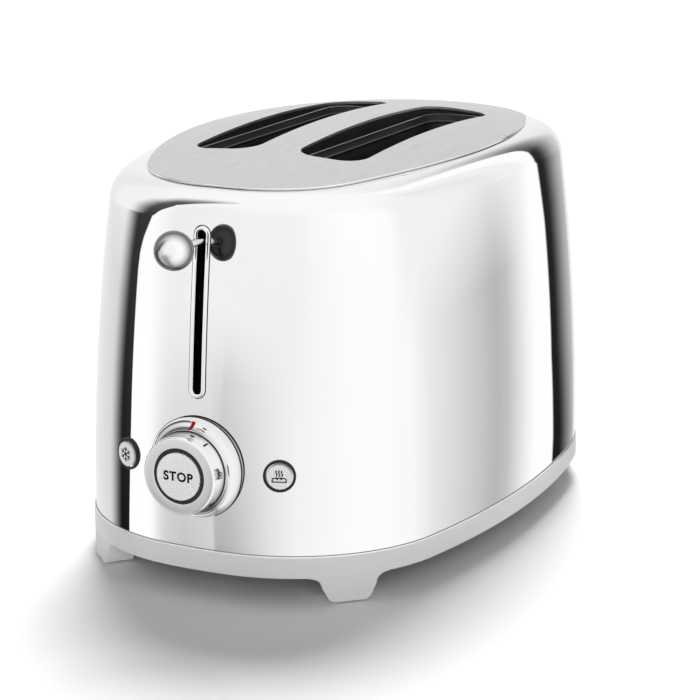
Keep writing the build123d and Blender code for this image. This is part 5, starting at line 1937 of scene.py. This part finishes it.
PANELS: Graph = (
    (0.0, 1.04), (24.0, 1.0), (41.0, 0.88), (48.0, 0.74), (58.5, 0.5), (62.0, 0.57), (67.0, 0.86),
    (71.0, 1.04), (82.0, 1.04), (88.0, 0.8), (96.0, 0.86), (118.0, 0.95), (150.0, 0.82), (172.0, 0.72),
    (182.0, 0.66), (190.0, 0.8), (196.0, 1.06), (214.0, 1.05), (232.0, 0.87), (243.0, 0.82), (244.8, 0.82),
    (245.6, 0.75), (255.0, 0.79), (272.0, 0.86), (298.0, 0.96), (335.0, 1.04), (360.0, 1.04))
STRIPS: tuple[Strip, ...] = (
    Strip(-1.0,
          ((-20.0, 193.5), (-16.0, 196.5), (-13.0, 198.0), (-5.0, 199.4), (-4.0, 200.4), (-3.0, 203.2),
           (-1.0, 211.2), (4.0, 213.4), (15.0, 216.4), (30.0, 221.8), (38.0, 222.7), (60.0, 220.5)),
          ((-18.0, 8.5), (-13.0, 9.5), (-5.0, 6.4), (-4.0, 6.0), (-2.0, 8.4), (6.0, 7.8), (31.0, 10.5),
           (48.0, 2.0), (56.0, 0.0)),
          ((-20.0, 0.99), (0.0, 0.96), (44.0, 0.9), (54.0, 0.7), (64.0, 0.0)),
          ((-4.0, 18.0), (-1.0, 22.0), (10.0, 25.0))),
    Strip(1.0,
          ((-16.0, 79.0), (-13.0, 77.6), (-8.0, 77.0), (-5.0, 75.6), (-3.0, 74.8), (0.0, 74.3), (4.0, 74.5),
           (8.0, 75.3), (14.0, 77.8), (20.0, 80.6), (30.0, 83.0)),
          ((-16.0, 3.0), (-12.0, 2.0)),
          ((-20.0, 0.99), (10.0, 0.97), (22.0, 0.8), (36.0, 0.0)),
          ((-20.0, 15.0), (20.0, 15.0))))
SIDE_GLOW: Graph = (
    (12.0, 0.0), (24.0, 1.0), (44.0, 1.0), (58.0, 0.8), (66.0, 1.0), (72.0, 0.0), (140.0, 0.0),
    (158.0, 1.0), (196.0, 1.0), (204.0, 0.0), (228.0, 0.0), (240.0, 1.0), (290.0, 1.0), (310.0, 0.0))
STEP_LEAN: Graph = ((216.0, 0.0), (236.0, 1.0), (262.0, 1.0), (290.0, 0.0))
FLOOR_SHADE: Graph = (
    (218.0, 0.0), (226.0, 0.6), (236.0, 0.8), (244.8, 0.45), (245.6, 1.0), (256.0, 0.8), (280.0, 0.2),
    (296.0, 0.0))


@dataclass
class Studio:
    """Camera, floor, light and the world's reflection panels.

    Attributes:
        azimuth, elevation, distance, lens, shift: the camera that was fitted to the photograph.
        step_lean: how many degrees the panels lean over, low down.
        floor_shade: how dark the floor is in reflections, by height in degrees.
        fade_low, fade_high: heights in degrees between which the roof takes over.
    """

    azimuth: float = 26.69
    elevation: float = 14.47
    distance: float = 1.3206
    aim_z: float = 0.0834
    lens: float = 135.89
    sensor: float = 36.0
    clip: float = 60.0
    shift: Flat = (0.0060, -0.0057)
    step_lean: float = 4.0
    floor_shade: Graph = ((-20.5, 0.62), (-18.4, 0.36), (-6.0, 0.0))
    room_light: float = 0.26
    sun_light: float = 3.2
    sun_spread: float = 24.0
    sun_from: Point = (-0.34, 0.95, 1.5)
    fill_light: float = 1.15
    fill_spread: float = 50.0
    fill_from: Point = (0.5, -0.9, 0.15)
    glow: Colour = (0.94, 0.94, 0.94)
    overhead: Colour = (1.0, 1.0, 1.0)
    fade_low: float = 30.0
    fade_high: float = 64.0
    floor_reach: float = 12000.0
    floor_colour: Colour = (0.96, 0.955, 0.95)

    def camera(self) -> None:
        """Camera at the photograph's place."""
        lens = bpy.data.cameras.new("studio_camera")
        lens.lens, lens.sensor_width, lens.clip_end = self.lens, self.sensor, self.clip
        lens.shift_x, lens.shift_y = self.shift
        thing = placed("studio_camera", lens)
        azimuth, elevation = math.radians(self.azimuth), math.radians(self.elevation)
        away = Vector((math.sin(azimuth) * math.cos(elevation), -math.cos(azimuth) * math.cos(elevation),
                       math.sin(elevation)))
        thing.location = Vector((0.0, MIDDLE_Y * MM, self.aim_z)) + away * self.distance
        thing.rotation_euler = (-away).to_track_quat("-Z", "Y").to_euler()
        bpy.context.scene.camera = thing

    def panel_light(self, sheet: Sheet) -> Socket:
        """The light that polished pieces mirror: a ring of panels under a bright roof.

        Args:
            sheet: the world's sheet.

        Returns:
            Brightness by direction.
        """
        black, degrees = (0.0, 0.0, 0.0, 1.0), 180 / math.pi
        way = sheet.add("ShaderNodeTexCoord").outputs["Generated"]
        axes = sheet.add("ShaderNodeSeparateXYZ", {0: way}).outputs
        bearing = sheet.times(sheet.maths("ARCTAN2", axes["Y"], axes["X"]), degrees)
        bearing = sheet.maths("ADD", bearing, sheet.times(sheet.maths("LESS_THAN", bearing, 0.0), 360.0))
        height = sheet.times(sheet.maths("ARCSINE", axes["Z"]), degrees)
        swing = sheet.spread(height, -16.0, -4.0, 0.0, self.step_lean)
        leaning = sheet.times(sheet.graph(bearing, STEP_LEAN), swing)
        shown = sheet.graph(sheet.maths("SUBTRACT", bearing, leaning), PANELS)
        glow = sheet.times(sheet.graph(bearing, SIDE_GLOW), sheet.spread(height, -8.0, -3.5))
        shown = sheet.blend(glow, shown, shade(self.glow))
        roof = sheet.spread(height, self.fade_low, self.fade_high, kind="SMOOTHSTEP")
        shown = sheet.blend(roof, shown, shade(self.overhead))
        dark = sheet.times(sheet.graph(bearing, FLOOR_SHADE), sheet.graph(height, self.floor_shade))
        shown = sheet.blend(dark, shown, black)
        for strip in STRIPS:
            shown = sheet.blend(strip.share(sheet, bearing, height), shown, black)
        return shown

    def world(self) -> None:
        """White room for the camera, light panels for reflections, an even glow for the rest."""
        world = bpy.data.worlds.new("white_room")
        world.use_nodes = True
        world.node_tree.nodes.clear()
        sheet = Sheet(world.node_tree)
        path = sheet.add("ShaderNodeLightPath").outputs
        seen = sheet.maths("MAXIMUM", path["Is Camera Ray"], path["Is Transmission Ray"])
        panels, white, glow = (
            sheet.add("ShaderNodeBackground", {"Color": colour, "Strength": strength}).outputs[0]
            for colour, strength in ((self.panel_light(sheet), 1.0), ((1, 1, 1, 1), 1.0),
                                     ((1, 1, 1, 1), self.room_light)))
        mirrored = sheet.add("ShaderNodeMixShader", {0: path["Is Glossy Ray"], 1: glow, 2: panels}).outputs[0]
        mix = sheet.add("ShaderNodeMixShader", {0: seen, 1: mirrored, 2: white}).outputs[0]
        sheet.add("ShaderNodeOutputWorld", {"Surface": mix})
        bpy.context.scene.world = world

    def floor(self) -> None:
        """Pale floor that keeps the object's shadow."""
        reach = self.floor_reach
        corners = [(-reach, -reach, 0.0), (reach, -reach, 0.0), (reach, reach, 0.0), (-reach, reach, 0.0)]
        floor = build_mesh("floor", corners, [(0, 1, 2, 3)])
        material, sheet, shader = blank_material("pale_floor", 0.0, self.floor_colour)
        sheet.feed(shader, {"Roughness": 1.0, "Specular IOR Level": 0.0})
        floor.data.materials.append(material)
        floor.visible_glossy = False

    @staticmethod
    def sun(name: str, power: float, spread: float, source: Point) -> None:
        """A broad soft light from one side, left out of reflections.

        Args:
            name: the light's name.
            power: its strength.
            spread: its width in degrees.
            source: the way it comes from.
        """
        light = bpy.data.lights.new(name, "SUN")
        light.energy, light.angle = power, math.radians(spread)
        thing = placed(name, light)
        thing.rotation_euler = Vector(source).to_track_quat("Z", "Y").to_euler()
        thing.visible_glossy = False

    def build(self) -> None:
        """Set up the whole studio."""
        self.camera()
        self.world()
        self.floor()
        self.sun("key_light", self.sun_light, self.sun_spread, self.sun_from)
        self.sun("fill_light", self.fill_light, self.fill_spread, self.fill_from)
        bpy.context.scene.view_settings.view_transform = "Standard"


def main() -> None:
    """Build the toaster, sub-assembly by sub-assembly."""
    logging.basicConfig(level=logging.INFO, format="%(message)s")
    Studio().build()
    Shell().build()
    plate = TopPlate()
    plate.build()
    Wells(plate).build()
    Band().build()
    lever = Lever()
    lever.build_ball()
    lever.build_bezel()
    dial = Dial()
    dial.build_base()
    dial.build_knob()
    dial.build_stop()
    Markings(dial).build()
    SideButton("defrost", -1, Glyphs.snowflake(3.4)).build()
    SideButton("reheat", 1, Glyphs.warm_slice(3.3)).build()
    Fastenings().build()
    Inside().build()


if __name__ == "__main__":
    main()
